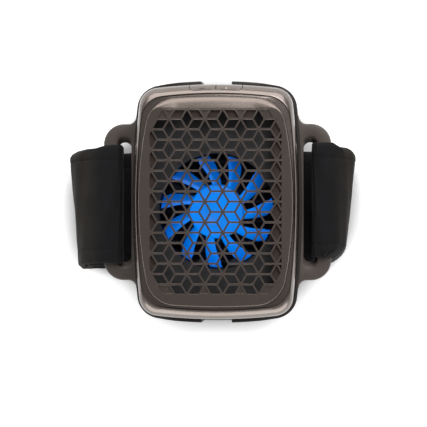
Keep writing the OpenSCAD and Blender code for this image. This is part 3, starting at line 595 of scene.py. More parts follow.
@dataclass(frozen=True)
class LitPlastic(Finish):
    """Plastic with a painted glow that stands for lamplight, and painted shade: darker towards the
    rim and on faces turned away from lit_from.
    """

    colour: Colour = (0.0, 0.2, 0.9)
    stops: tuple = ((0.0, (0.0, 0.3, 1.0)), (1.0, (0.0, 0.1, 0.5)))
    centre: tuple[float, float] = (0.3, -3.9)
    reach: float = 24.0
    glow: float = 0.9
    rough: float = 0.35
    shade: float = 0.45
    lit_from: tuple[float, float, float] = (-0.35, -0.3, 0.89)

    def dress(self, n: Nodes, shader: bpy.types.Node) -> None:
        """Joins the painted glow, darkened by its painted shade, to the shader.

        Args:
            n: Nodes of the material.
            shader: Its shader.
        """
        flat = n.add("Mapping", {"Vector": self.place(n),
                                 "Location": (-self.centre[0] * MM, -self.centre[1] * MM, 0),
                                 "Scale": (1, 1, 0)}, vector_type="POINT")
        # Painted shade: the glow's tone darkens with the distance from the axis, along the stops.
        away = n.add("VectorMath", {0: flat.outputs[0]}, operation="LENGTH").outputs["Value"]
        share = n.math("DIVIDE", away, self.reach * MM)
        cloud = n.add("TexNoise", {"Vector": self.place(n), "Scale": 160.0, "Detail": 3.0})
        share = n.math("ADD", share, n.math("MULTIPLY", n.math("SUBTRACT", cloud.outputs[0], 0.5),
                                            0.12))
        # Painted shade: faces turned away from lit_from glow darker.
        facing = n.add("VectorMath", {0: n.add("TexCoord").outputs["Normal"], 1: self.lit_from},
                       operation="DOT_PRODUCT").outputs["Value"]
        turned = n.add("MapRange", {0: facing, 1: 0.45, 2: 0.95, 3: self.shade, 4: 1.0})
        tone = n.add("Mix", {0: 1.0, 6: n.ramp(share, self.stops), 7: turned.outputs[0]},
                     data_type="RGBA", blend_type="MULTIPLY")
        n.tree.links.new(tone.outputs[2], shader.inputs["Emission Color"])
        shader.inputs["Emission Strength"].default_value = self.glow
        tint = n.mix(cloud.outputs[0], tuple(c * 0.8 for c in self.colour), self.colour)
        n.tree.links.new(tint, shader.inputs["Base Color"])
        shader.inputs["Roughness"].default_value = self.rough
        self.bump(n, shader, cloud.outputs[0], 0.05, 0.1)


@dataclass(frozen=True)
class Webbing(Finish):
    """Woven webbing or hook tape over a UV map in millimetres."""

    colour: Colour = (0.012, 0.012, 0.014)
    pitch: float = 0.9
    depth: float = 0.25
    relief: float = 0.5
    sheen: float = 0.25
    rough: float = 0.85
    # Painted light: a lighter, browner colour on the outer loops, where they face the light; the
    # strap near the slots stays darker, in the unit's shade.
    painted_loop_light: Colour = (0.02, 0.018, 0.015)
    painted_light_from: float = 48.0
    painted_light_to: float = 56.0

    def dress(self, n: Nodes, shader: bpy.types.Node) -> None:
        """Joins the weave to the shader, with painted light: a lighter, browner colour on the outer
        loops, where they face the light, and darker near the slots, in shade.

        Args:
            n: Nodes of the material.
            shader: Its shader.
        """
        weave = n.add("Group", node_tree=weave_group())
        n.tree.links.new(n.add("UVMap", uv_map="cloth").outputs[0], weave.inputs[0])
        weave.inputs[1].default_value = self.pitch
        side = n.math("ABSOLUTE", n.add("SeparateXYZ", {0: self.place(n)}).outputs[0])
        # Painted light: share of the lighter loop colour, growing outwards with |x|.
        painted_loop_light = n.add("MapRange", {0: side, 1: self.painted_light_from * MM, 2: self.painted_light_to * MM},
                     interpolation_type="SMOOTHSTEP").outputs[0]
        base = n.mix(painted_loop_light, self.colour, self.painted_loop_light)
        n.tree.links.new(n.mix(weave.outputs[1], n.shade(base, 0.6), n.shade(base, 1.5)),
                         shader.inputs["Base Color"])
        n.tree.links.new(n.span(weave.outputs[0], self.rough - 0.08, self.rough + 0.08),
                         shader.inputs["Roughness"])
        shader.inputs["Sheen Weight"].default_value = self.sheen
        shader.inputs["Sheen Roughness"].default_value = 0.4
        shader.inputs["Specular IOR Level"].default_value = 0.3
        self.bump(n, shader, weave.outputs[0], self.depth, self.relief)


PAINT = srgb(116, 106, 100)
BRONZE = MouldedPlastic("bronze_paint", PAINT, 0.24, 0.85, 0.6, 0.14, 0.06, 5200, 0.1, 0.02)
GRILLE = MouldedPlastic("bronze_grille", PAINT, 0.26, 0.85, 0.0, 0.12, 0.06, 5200, 0.1, 0.02)
CAP = MouldedPlastic("button_paint", PAINT, 0.22, 0.85, 0.6, 0.12, 0.05, 5200, 0.08, 0.02)
CHARCOAL = MouldedPlastic("lug_plastic", srgb(88, 80, 76), 0.42, 0.0, 0.0, 0.2, 0.1, 2600,
                          0.3, 0.04, 0.3)
# Painted shade: the ring is a darker copy of the lug plastic, for the shade that the unit and the
# strap cast on it.
SHADED_RING_PLASTIC = MouldedPlastic("ring_plastic", srgb(50, 45, 43), 0.42, 0.0, 0.0, 0.2, 0.1, 2600, 0.3,
                      0.04, 0.25)
BLACK = MouldedPlastic("fan_plastic", srgb(24, 24, 26), 0.4)
BAFFLE = MouldedPlastic("baffle_plastic", srgb(72, 70, 72), 0.5, relief=0.35, depth=0.06)
# Painted shade: a dark brown floor that closes cells open in the real cover, standing for the shade
# seen through them.
SHADE = MouldedPlastic("cell_floor", srgb(66, 55, 50), 0.6, relief=0.3, specular=0.2)
RUBBER = MouldedPlastic("seal_rubber", srgb(40, 40, 42), 0.7, fine=1800, relief=0.5)
FOAM = MouldedPlastic("foam", srgb(46, 48, 50), 0.9, fine=900, relief=0.9, depth=0.3)
PAD = MouldedPlastic("thermal_pad", srgb(190, 188, 198), 0.7, fine=2000, relief=0.4)
CERAMIC = MouldedPlastic("ceramic", srgb(232, 230, 222), 0.6, fine=4000, tone=0.04)
WRAP = MouldedPlastic("battery_wrap", srgb(54, 100, 160), 0.32, coat=0.3, fine=700, tone=0.06)
TRAY = MouldedPlastic("tray_plastic", srgb(38, 38, 40), 0.55)
LEAD = MouldedPlastic("lead_cover", srgb(170, 40, 42), 0.4, fine=5000)
RUNLEAD = MouldedPlastic("fan_lead_cover", srgb(214, 168, 60), 0.4, fine=5000)
SWITCH = MouldedPlastic("switch_plastic", srgb(38, 38, 40), 0.5)
SENSOR = MouldedPlastic("sensor_cover", srgb(214, 208, 194), 0.5)
MARK = MouldedPlastic("button_mark", srgb(36, 32, 30), 0.5)
LAMP = MouldedPlastic("button_lamp", srgb(206, 200, 192), 0.3)
THREAD = MouldedPlastic("strap_thread", srgb(27, 26, 26), 0.85, fine=6000, relief=0.6,
                        specular=0.2)
ALUMINIUM = DrawnMetal("brushed_aluminium", srgb(200, 202, 206))
# The heat sink takes a dark anodised finish, which serves as painted shade seen between the fan
# blades.
ANODISED_AS_SHADE = DrawnMetal("black_anodised", srgb(52, 52, 55), 0.42)
STEEL = DrawnMetal("screw_steel", srgb(150, 152, 156), 0.3, 0.3)
NICKEL = DrawnMetal("port_nickel", srgb(188, 190, 192), 0.25, 0.05)
LAMINATION = DrawnMetal("stator_steel", srgb(138, 90, 60), 0.45, 0.5)
BRASS = DrawnMetal("bearing_brass", srgb(176, 141, 87), 0.35, 0.3)
BOARD = CircuitBoard("circuit_board")
# Painted glow on the fan wheel, which is no lamp: brightest at the hub, painted darker towards the
# blade tips.
AZURE = LitPlastic("lit_blue", srgb(0, 60, 150),
                   ((0.0, srgb(0, 140, 250)), (0.5, srgb(0, 134, 248)), (1.0, srgb(0, 96, 205))))
RINGLIGHT = LitPlastic("lamp_ring", srgb(190, 210, 235), ((0.0, srgb(60, 150, 255)),
                                                          (1.0, srgb(90, 160, 250))), glow=0.3)
# The strap's outer loops take a lighter, browner colour as painted light.
STRAP = Webbing("strap_webbing", srgb(19, 19, 22), sheen=0.06, painted_loop_light=srgb(38, 34, 30))
HOOK = Webbing("hook_tape", srgb(18, 18, 19), 1.4, 0.5, 1.0, 0.1)


# ---- Cradle ------------------------------------------------------------------------------------
@dataclass
class Cradle:
    """The ring that holds the unit, with its end clips and its two strap lugs."""

    clear: float = 0.3
    wall: float = 1.5
    low_z: float = 12.5
    top_z: float = 30.0
    clip_h: float = 7.0
    clip_full_x: float = 16.0
    clip_end_x: float = 28.5
    ledge_t: float = 3.0
    ledge_step: float = 4.4
    notch_half: float = 5.75
    notch_top_half: float = 6.4
    notch_z: float = 18.0
    edge_r: float = 0.45
    lug_z: float = 23.0
    lug_t: float = 5.0
    reach: float = 48.0
    lug_half: float = 33.0
    lug_r: float = 8.5
    fillet_r: float = 3.3
    slot_x: float = 39.2
    slot_half_w: float = 2.8
    slot_half_l: float = 27.5
    slot_taper: float = 2.2
    slot_round: float = 0.7

    def rim_z(self, x: float, y: float, drop: float) -> float:
        """Height of the rim over a point.

        Args:
            x: Place across.
            y: Place along.
            drop: How far under the rim's highest line.

        Returns:
            The height.
        """
        if abs(y) < 40:
            return self.top_z - drop
        if abs(x) <= self.notch_half + 1e-6:
            return self.notch_z - drop
        rise = self.clip_h * (1 - ease(self.clip_full_x, self.clip_end_x, abs(x)))
        return self.top_z + rise - drop

    def build_ring(self) -> bpy.types.Object:
        """The ring with its ledge, clips and thumb notches.

        Returns:
            The piece.
        """
        inner = UNIT.grow(self.clear)
        outer = inner.grow(self.wall)
        ledge = UNIT.grow(-self.ledge_step)
        columns = (23, 20, 17, 14, 10, self.notch_top_half, self.notch_half, 3, 0)
        ledge_z = self.low_z + self.ledge_t
        r = self.edge_r

        def flat(o: Outline, z: float) -> list[Vector]:
            """Points of an outline at one height."""
            return o.points(z, columns=columns)

        def rim(o: Outline, drop: float) -> list[Vector]:
            """Points of an outline along the rim."""
            spots = o.points(0, columns=columns)
            return [Vector((p.x, p.y, self.rim_z(p.x, p.y, drop))) for p in spots]

        shape = Shape()
        shape.start(flat(outer.grow(-0.5), self.low_z))
        shape.pull(flat(outer, self.low_z + 0.5))
        for inset, drop in ((0.0, r), (0.3 * r, 0.3 * r), (r, 0.0)):
            shape.pull(rim(outer.grow(-inset), drop))
        shape.pull(rim(inner.grow(0.25), 0.0))
        shape.pull(rim(inner, 0.25))
        shape.pull(flat(inner, ledge_z))
        shape.pull(flat(ledge.grow(0.3), ledge_z))
        shape.pull(flat(ledge, ledge_z - 0.3))
        shape.pull(flat(ledge, self.low_z))
        shape.close()
        # The ring takes the darker copy of the cradle plastic, as painted shade.
        return shape.finish("cradle_ring", SHADED_RING_PLASTIC, Body.CRADLE, "cradle_plastic",
                            ["holder_frame"])

    def lug_outline(self, inset: float) -> list[tuple[float, float]]:
        """Right-hand lug seen from the front, drawn in by inset at its free edge.

        Args:
            inset: How far the free edge stands back.

        Returns:
            Points from the root at low y round to the root at high y.
        """
        outer = UNIT.grow(self.clear + self.wall)
        root = outer.side_x(self.lug_half)
        half, f, r = self.lug_half - inset, self.fillet_r, self.lug_r
        fillet = [
            (root + f - (f + inset) * math.cos(a), self.lug_half + f - (f + inset) * math.sin(a))
            for a in (math.radians(9 * i) for i in range(11))
        ]
        corner_x, corner_y = self.reach - r, self.lug_half - r
        corner = [
            (corner_x + (r - inset) * math.sin(a), corner_y + (r - inset) * math.cos(a))
            for a in (math.radians(7.5 * i) for i in range(13))
        ]
        top = [(root - 1.2, half + f + inset), *fillet, *corner]
        return [(x, -y) for x, y in top] + top[::-1]

    def slot_outline(self, grow: float, taper: float) -> list[tuple[float, float]]:
        """The strap slot of the right-hand lug.

        Args:
            grow: How far it is wider than the strap slot itself.
            taper: How far its round ends stand back.

        Returns:
            Points all round.
        """
        r = self.slot_half_w + grow
        y = self.slot_half_l - self.slot_half_w - taper
        arc = [math.radians(15 * i) for i in range(13)]
        top = [(self.slot_x + r * math.cos(a), y + r * math.sin(a)) for a in arc]
        return top + [(2 * self.slot_x - px, -py) for px, py in top]

    def build_lug(self, side: int) -> bpy.types.Object:
        """One strap lug.

        Args:
            side: 1 for the right-hand lug, -1 for the left-hand one.

        Returns:
            The piece.
        """
        top = self.lug_z + self.lug_t

        def at(spots: list[tuple[float, float]], z: float) -> list[Vector]:
            """Points of this side's lug at one height."""
            return [Vector((side * x, y, z)) for x, y in spots]

        shape = Shape()
        ends = []
        for steps in (
            [(self.lug_outline(1.0), top), (self.lug_outline(0.35), top - 0.2),
             (self.lug_outline(0.0), top - 0.9), (self.lug_outline(0.0), self.lug_z + 0.6),
             (self.lug_outline(0.5), self.lug_z)],
            [(self.slot_outline(self.slot_round, 0.0), top),
             (self.slot_outline(self.slot_round * 0.4, 0.1), top - 0.25),
             (self.slot_outline(0.0, 0.5), top - 0.9),
             (self.slot_outline(0.0, self.slot_taper), self.lug_z + 1.4),
             (self.slot_outline(0.4, self.slot_taper), self.lug_z)],
        ):
            high = shape.start(at(*steps[0]))
            for step in steps[1:]:
                shape.pull(at(*step))
            ends.append((high, shape.ring))
        shape.plate(e[0] for e in ends)
        shape.plate(e[1] for e in ends)
        name = "right" if side > 0 else "left"
        return shape.finish(f"cradle_lug_{name}", CHARCOAL, Body.CRADLE, "cradle_plastic",
                            ["holder_frame"])

    def build(self) -> None:
        """Builds the ring and both lugs."""
        self.build_ring()
        for side in (-1, 1):
            self.build_lug(side)


# ---- Strap -------------------------------------------------------------------------------------
@dataclass
class Strap:
    """The strap: one band round both bars and under the unit, with its hook tab."""

    width: float = 50.0
    thick: float = 2.4
    tail_z: float = 1.2
    run_z: float = 3.9
    over_z: float = 29.5
    under_z: float = 21.5
    bar_x: float = 42.0
    bend: float = 1.35
    slim: float = 0.4
    bend_left: float = 9.0
    bend_low: float = 8.0
    bend_right: float = 4.5
    tuck: float = 5.0
    loop_end: float = 6.0
    curl: float = 0.34
    wave: float = 0.2
    left_in: float = 3.4
    left_top: float = 1.6
    left_shift: float = -0.8
    right_in: float = 3.0
    right_low: float = 5.0
    right_top: float = 1.9
    right_shift: float = 0.9
    left_x: float = 60.2
    right_x: float = 55.2
    layer: float = 2.7
    lean_left: float = 2.1
    lean_right: float = 2.5
    sag: float = 3.0
    tail_end: float = -20.0
    tab_l: float = 22.0
    tab_gap: float = 0.1
    tab_r: float = 6.0
    hem: float = 6.0
    across: int = 28
    spots: list[tuple[float, float, float]] = field(default_factory=list)

    def arc(self, centre: tuple[float, float], r: float, a0: float, a1: float, lean: float) -> None:
        """Adds a bend to the path.

        Args:
            centre: Centre of the bend, as x and z.
            r: Its radius.
            a0: First angle in degrees.
            a1: Last angle.
            lean: How far x shifts over half the strap's width.
        """
        n = max(4, round(abs(a1 - a0) / 9))
        for i in range(n + 1):
            a = math.radians(a0 + (a1 - a0) * i / n)
            self.spots.append((centre[0] + r * math.cos(a), centre[1] + r * math.sin(a), lean))

    def lay(self) -> None:
        """Lays the path: left loop, run under the unit, right loop and tail."""
        left, right, tuck, r = -self.left_x, self.right_x, self.tuck, self.bend
        wide, low, tight = self.bend_left, self.bend_low, self.bend_right
        start = left + self.layer
        self.spots = [(start, self.run_z + self.loop_end, -self.lean_left)]
        self.arc((start + tuck, self.under_z - tuck), tuck, 180, 90, -self.lean_left)
        self.arc((-self.bar_x, self.under_z + r), r, -90, 0, 0.0)
        self.arc((-self.bar_x, self.over_z - r), r, 0, 90, 0.0)
        self.arc((left + wide, self.over_z - wide), wide, 90, 180, -self.lean_left)
        self.arc((left + wide, self.run_z + wide), wide, 180, 270, -self.lean_left)
        self.arc((right - low, self.tail_z + low), low - self.layer, -90, 0, self.lean_right)
        self.arc((right - self.layer - tuck, self.under_z - tuck), tuck, 0, 90, self.lean_right)
        self.arc((self.bar_x, self.under_z + r), r, 270, 180, 0.0)
        self.arc((self.bar_x, self.over_z - r), r, 180, 90, 0.0)
        self.arc((right - tight, self.over_z - tight), tight, 90, 0, self.lean_right)
        self.arc((right - low, self.tail_z + low), low, 0, -90, self.lean_right)
        self.spots.append((self.tail_end, self.tail_z, 0.0))
        self.spots = self.spread(self.spots, 3.0)

    @staticmethod
    def spread(spots: list[tuple[float, float, float]], step: float) -> list:
        """Adds spots on the long straight stretches.

        Args:
            spots: The path.
            step: Longest stretch that stays whole.

        Returns:
            The path with no longer stretch.
        """
        out = [spots[0]]
        for a, b in zip(spots, spots[1:]):
            far = math.hypot(b[0] - a[0], b[1] - a[1])
            if far < 1e-6:
                continue
            n = max(1, math.ceil(far / step))
            out += [tuple(p + (q - p) * i / n for p, q in zip(a, b)) for i in range(1, n + 1)]
        return out

    def length(self) -> float:
        """Length of the path."""
        return sum(math.hypot(b[0] - a[0], b[1] - a[1]) for a, b in zip(self.spots, self.spots[1:]))

    def normal(self, i: int) -> tuple[float, float]:
        """Normal of the path at a spot.

        Args:
            i: Number of the spot.

        Returns:
            The unit normal, as x and z.
        """
        a, b = self.spots[max(i - 1, 0)], self.spots[min(i + 1, len(self.spots) - 1)]
        dx, dz = b[0] - a[0], b[1] - a[1]
        far = math.hypot(dx, dz)
        return -dz / far, dx / far

    @staticmethod
    def corner(s: float, start: float, span: float) -> float:
        """Share of a pull at a place across, which grows from its start to the edge."""
        return max(0.0, (s - start) / span) ** 2

    def edge_pull(self, x: float, s: float) -> tuple[float, float]:
        """How the loops' corners are drawn in, as the photograph shows.

        Args:
            x: Place of the path.
            s: Place across, from -1 to 1.

        Returns:
            Shift of x and of y.
        """
        out, near = ease(44.0, 54.0, abs(x)), ease(33.0, 40.0, abs(x))
        if x > 0:
            dx = -self.right_in * self.corner(s, 0.78, 0.22)
            dx -= self.right_low * self.corner(-s, 0.72, 0.28)
            dy = -self.right_top * self.corner(s, 0.4, 0.6) * ease(49.6, 51.2, x)
            shift = self.right_shift * max(0.0, -s) * 2.0
        else:
            dx = self.left_in * self.corner(s, 0.82, 0.18)
            dy = -self.left_top * self.corner(s, 0.6, 0.4) * out
            shift = self.left_shift
        return dx * out, dy + shift * near

    def place(self, i: int, s: float, w: float) -> Vector:
        """A point of the cloth.

        Args:
            i: Number of the spot on the path.
            s: Place across, from -1 to 1.
            w: Height over the middle of the cloth.

        Returns:
            The point.
        """
        x, z, lean = self.spots[i]
        nx, nz = self.normal(i)
        along = i * 1.7
        edge = max(0.0, abs(s) - (1 - 2 * self.hem / self.width)) / (2 * self.hem / self.width)
        pucker = self.curl * math.sin(along * 1.9 + 2.1 * s)
        pucker = pucker * math.sin(along * 0.61 + 4 * s) * edge
        near_bar = ease(30.0, 36.0, abs(x))
        ripple = self.wave * math.sin(along * 0.8 + 5 * s) * near_bar
        drop = min(1.0, max(0.0, (self.over_z - z) / (self.over_z - 12)))
        dx, dy = self.edge_pull(x, s)
        pressed = self.slim * ease(46.5, 42.0, abs(x)) * ease(12.0, 20.0, z)
        lift = w * (1 - pressed) + (pucker + ripple) * near_bar * (1 - pressed)
        return Vector((
            x + lean * s + lift * nx + dx,
            s * self.width / 2 - self.sag * drop + dy + 0.25 * pucker * s,
            max(z + lift * nz, 0.05),
        ))

    def half_thick(self, s: float) -> float:
        """Half thickness across the strap: full hems with a stitched groove beside them.

        Args:
            s: Place across, from -1 to 1.

        Returns:
            Half the thickness.
        """
        edge = 1 - 2 * self.hem / self.width
        groove = 0.3 * math.exp(-(((abs(s) - edge) / 0.016) ** 2))
        rounding = 1 - max(0.0, (abs(s) - 0.97) / 0.03) ** 2 * 0.55
        return (self.thick / 2 - (0.12 if abs(s) < edge else 0.0) - groove) * rounding

    def build_band(self) -> bpy.types.Object:
        """The band itself, as one thick sheet.

        Returns:
            The piece.
        """
        n = self.across
        edge = 1 - 2 * self.hem / self.width
        rows = sorted({*(2 * k / n - 1 for k in range(n + 1)), edge, -edge, edge - 0.02,
                       0.02 - edge, edge + 0.02, -edge - 0.02, 0.985, -0.985})
        loop = [(s, 1) for s in rows] + [(s, -1) for s in reversed(rows)]
        shape = Shape()
        layer = shape.bm.verts.layers.float_vector.new("spot")
        run = 0.0
        for i, spot in enumerate(self.spots):
            if i:
                back = self.spots[i - 1]
                run += math.hypot(spot[0] - back[0], spot[1] - back[1])
            points = [self.place(i, s, side * self.half_thick(s)) for s, side in loop]
            ring = shape.start(points) if i == 0 else shape.pull(points)
            for vert, (s, _) in zip(ring, loop):
                vert[layer] = (s * self.width / 2, run, 0)
            if i in (0, len(self.spots) - 1):
                shape.cap(ring)
        uv = shape.bm.loops.layers.uv.new("cloth")
        for face in shape.bm.faces:
            for corner in face.loops:
                corner[uv].uv = corner.vert[layer].xy
        return shape.finish("strap_cloth", STRAP, Body.CRADLE, "strap_fabric", ["strap_band"], 50)

    def build_stitches(self) -> bpy.types.Object:
        """Two rows of thread along the hems, on both faces of the band.

        Returns:
            The piece.
        """
        shape = Shape()
        edge = 1 - 2 * self.hem / self.width
        run, due = 0.0, 1.5
        for i in range(1, len(self.spots) - 1):
            nx, nz = self.normal(i)
            a, b = self.spots[i - 1], self.spots[i + 1]
            run += math.hypot(self.spots[i][0] - a[0], self.spots[i][1] - a[1])
            if run < due:
                continue
            due = run + 2.6
            way = Vector((b[0] - a[0], 0, b[1] - a[1])).normalized()
            up = Vector((nx, 0, nz))
            for s in (-edge, edge):
                for face in (-1, 1):
                    spot = self.place(i, s, face * (self.half_thick(s) + 0.05))
                    if spot.z < 0.5:
                        continue
                    turn = Matrix((way, up.cross(way), up)).transposed().to_4x4()
                    size = Matrix.Diagonal((1.0, 0.24, 0.16, 1))
                    bmesh.ops.create_icosphere(shape.bm, subdivisions=1, radius=1.0,
                                               matrix=Matrix.Translation(spot) @ turn @ size)
        return shape.finish("strap_stitches", THREAD, Body.CRADLE, "strap_fabric", (), 60)

    def tab_outline(self, inset: float) -> list[tuple[float, float]]:
        """Outline of the hook tab, with a round outer end.

        Args:
            inset: How far it stands in.

        Returns:
            Points all round.
        """
        x1 = self.tail_end - self.tab_gap
        x0, r = x1 - self.tab_l, self.tab_r
        top = self.width / 2 - self.sag
        low = -self.width / 2 - self.sag
        arc = [math.radians(11.25 * i) for i in range(9)]
        out = [(x1 - inset, low + inset), (x1 - inset, top - inset)]
        out += [(x0 + r - (r - inset) * math.sin(a), top - r + (r - inset) * math.cos(a))
                for a in arc]
        out += [(x0 + r - (r - inset) * math.cos(a), low + r - (r - inset) * math.sin(a))
                for a in arc]
        return out

    def build_tab(self) -> bpy.types.Object:
        """The stiff hook tab at the end of the tail.

        Returns:
            The piece.
        """
        shape = Shape()
        rings = []
        for k, (inset, z) in enumerate(((0.4, 0.05), (0.0, 0.4), (0.0, 2.0), (0.4, 2.4))):
            points = [Vector((x, y, z)) for x, y in self.tab_outline(inset)]
            rings.append(shape.start(points) if k == 0 else shape.pull(points))
        shape.cap(rings[0])
        shape.cap(rings[-1])
        uv = shape.bm.loops.layers.uv.new("cloth")
        for face in shape.bm.faces:
            for corner in face.loops:
                corner[uv].uv = corner.vert.co.xy
        return shape.finish("hook_tab", HOOK, Body.CRADLE, "hook_tab", ["strap_hook_tab"])

    def build(self) -> None:
        self.lay()
        band = self.build_band()
        pieces = [self.build_stitches(), self.build_tab()]
        LOG.info("strap: %.1f mm long", self.length())


# ---- Front housing -----------------------------------------------------------------------------
@dataclass
class Shoulder:
    """The rounded shoulder round the front, shared by the housing and the buttons."""

    foot: float = 37.0
    radius: float = 6.9
    turn: float = 60.0

    def outline(self, angle: float, inset: float = 0.0) -> Outline:
        """Outline of the shoulder where it has turned by angle degrees."""
        share = (1 - math.cos(math.radians(angle))) / (1 - math.cos(math.radians(self.turn)))
        return UNIT.mix(CREASE, share).grow(-inset)

    def height(self, angle: float) -> float:
        """Height over the contact face where the shoulder has turned by angle degrees."""
        return self.foot + self.radius * math.sin(math.radians(angle))


@dataclass
class FrontShell:
    """The front housing with its side vents, button recess and charging opening."""

    shoulder: Shoulder
    wall: float = 2.0
    parting: float = 24.0
    vent_half: float = 1.2
    vent_low: float = 26.8
    vent_high: float = 32.8
    vent_pitch: float = 5.0
    vents: int = 11
    port_low: float = 28.85
    port_half: float = 4.8
    button_low: float = 30.98
    button_top_turn: float = 49.93
    button_half: float = 11.0
    corner_turn: float = 37.6
    corner_x: float = 9.6
    floor_y: float = 45.05
    boss_y: float = 44.6
    crease_low: float = 42.3
    seat: float = 39.8
    clear: float = 0.15
    vent_zone: float = 25.0
    vent_face: float = 32.6
    vent_end: float = 27.0
    port_zone: float = 40.0
    button_zone: float = 44.0
    recess_front: float = 45.3
    recess_reach: float = 3.2
    port_round: float = 1.85
    seat_in: float = 2.0
    turns: tuple[float, ...] = (0, 6, 12, 18, 24, 30, 37.6, 44, 49.93, 54, 57.5)
    crest: tuple[tuple[float, float], ...] = ((0.16, 0.14), (0.24, 0.4))

    def levels(self, o: Outline, u: float) -> list[Vector]:
        """Points of an outline, with those that the openings need.

        Args:
            o: The outline.
            u: Height over the contact face.

        Returns:
            The points.
        """
        rows = [0.0]
        for k in range(self.vents // 2 + 1):
            middle = k * self.vent_pitch
            rows += [y for y in (middle - self.vent_half, middle + self.vent_half) if y > 0]
        return o.points(u + UNIT_Z, rows, (15, self.button_half, self.port_half, 0), 18)

    def inside(self, u: float) -> list[Vector]:
        """Points of the inside wall, with the thick place behind the buttons.

        Args:
            u: Height over the contact face.

        Returns:
            The points.
        """
        points = self.levels(UNIT.grow(-self.wall), u)
        for p in points:
            if abs(p.x) <= self.button_half + 0.1 and p.y > 40:
                p.y = self.boss_y
        return points

    def draw(self) -> Shape:
        """The shell as one closed ring, before its openings are cut.

        Returns:
            The shape.
        """
        sh, flat = self.shoulder, (self.vent_low, self.port_low, self.button_low, self.vent_high)
        pocket, seat = COVER.grow(self.clear), COVER.grow(-self.seat_in)
        shape = Shape()
        shape.start(self.levels(UNIT.grow(-0.3), self.parting))
        shape.pull(self.levels(UNIT, self.parting + 0.35))
        for u in flat:
            shape.pull(self.levels(UNIT, u))
        for a in self.turns:
            shape.pull(self.levels(sh.outline(a), sh.height(a)))
        crest = sh.height(sh.turn)
        shape.pull(self.levels(sh.outline(sh.turn, 0.02), crest - 0.04))
        for inset, drop in self.crest:
            shape.pull(self.levels(CREASE.grow(-inset), crest - drop))
        shape.pull(self.levels(CREASE.grow(-0.3), self.crease_low - 0.1))
        shape.pull(self.levels(pocket, self.crease_low + 0.15))
        shape.pull(self.levels(pocket, self.seat))
        shape.pull(self.levels(seat, self.seat))
        shape.pull(self.levels(seat, self.seat - 1.5))
        shape.pull(self.inside(self.seat - 2.1))
        for u in reversed(flat):
            shape.pull(self.inside(u))
        shape.pull(self.inside(self.parting))
        shape.close()
        return shape

    def drop(self, shape: Shape, test: Callable[[Vector], bool]) -> None:
        """Takes out the faces whose middle passes a test."""
        faces = [f for f in shape.bm.faces if test(f.calc_center_median())]
        bmesh.ops.delete(shape.bm, geom=faces, context="FACES")

    @staticmethod
    def rims(shape: Shape, test: Callable[[Vector], bool]) -> list[bmesh.types.BMEdge]:
        """Open edges whose middle passes a test."""
        return [e for e in shape.bm.edges
                if e.is_boundary and test((e.verts[0].co + e.verts[1].co) / 2)]

    def cut_vents(self, shape: Shape) -> None:
        """Cuts the side vents and eases their outer edges.

        Args:
            shape: The shell.
        """
        low, high = self.vent_low + UNIT_Z, self.vent_high + UNIT_Z
        half = self.vents // 2
        for side in (-1, 1):
            for k in range(-half, half + 1):
                y = k * self.vent_pitch

                def inside(p: Vector, grow: float = 0.0) -> bool:
                    """Whether a point lies in this vent."""
                    return (p.x * side > self.vent_zone and abs(p.y - y) < self.vent_half + grow
                            and low - grow < p.z < high + grow)

                self.drop(shape, inside)
                rim = self.rims(shape, lambda p: inside(p, 0.05))
                bmesh.ops.bridge_loops(shape.bm, edges=rim)
        edges = []
        for e in shape.bm.edges:
            a, b = e.verts[0].co, e.verts[1].co
            turned = len(e.link_faces) == 2 and e.calc_face_angle(0.0) > 1.2
            outer = min(abs(a.x), abs(b.x)) > self.vent_face
            level = low - 0.05 < min(a.z, b.z) and max(a.z, b.z) < high + 0.05
            if turned and outer and level and max(abs(a.y), abs(b.y)) < self.vent_end:
                edges.append(e)
        shape.bevel(edges, 0.28, 2)

    def cut_port(self, shape: Shape) -> None:
        """Cuts the opening of the charging port, with round corners.

        Args:
            shape: The shell.
        """
        low, high = self.port_low + UNIT_Z, self.vent_high + UNIT_Z

        def inside(p: Vector, grow: float = 0.0) -> bool:
            """Whether a point lies in the opening."""
            return (p.y < -self.port_zone and abs(p.x) < self.port_half + grow
                    and low - grow < p.z < high + grow)

        self.drop(shape, inside)
        rim = self.rims(shape, lambda p: inside(p, 0.05))
        made = bmesh.ops.bridge_loops(shape.bm, edges=rim)["faces"]
        edges = {e for f in made for e in f.edges}
        corners = [e for e in edges
                   if abs(e.verts[0].co.y - e.verts[1].co.y) > 1
                   and all(abs(abs(v.co.x) - self.port_half) < 0.05 for v in e.verts)
                   and all(min(abs(v.co.z - low), abs(v.co.z - high)) < 0.05 for v in e.verts)]
        shape.bevel(corners, self.port_round, 6)

    def cut_buttons(self, shape: Shape) -> None:
        """Cuts the recess that the two buttons sit in.

        Args:
            shape: The shell.
        """
        sh = self.shoulder
        low = self.button_low + UNIT_Z
        high = sh.height(self.button_top_turn) + UNIT_Z
        normals = []
        for side in (-1, 1):
            a = Vector((side * self.button_half,
                        sh.outline(self.corner_turn).end_y(self.button_half),
                        sh.height(self.corner_turn) + UNIT_Z))
            b = Vector((side * self.corner_x,
                        sh.outline(self.button_top_turn).end_y(self.corner_x), high))
            normal = (b - a).cross(Vector(OUTWARD)).normalized()
            normal *= 1 if normal.x * side > 0 else -1
            normals.append((a, normal))
            near = [f for f in shape.bm.faces
                    if f.calc_center_median().y > self.button_zone
                    and abs(f.calc_center_median().x) < self.button_half + 5
                    and f.calc_center_median().z > low + 5]
            geom = {*near, *(e for f in near for e in f.edges), *(v for f in near for v in f.verts)}
            bmesh.ops.bisect_plane(shape.bm, geom=list(geom), dist=1e-4, plane_co=a,
                                   plane_no=normal)

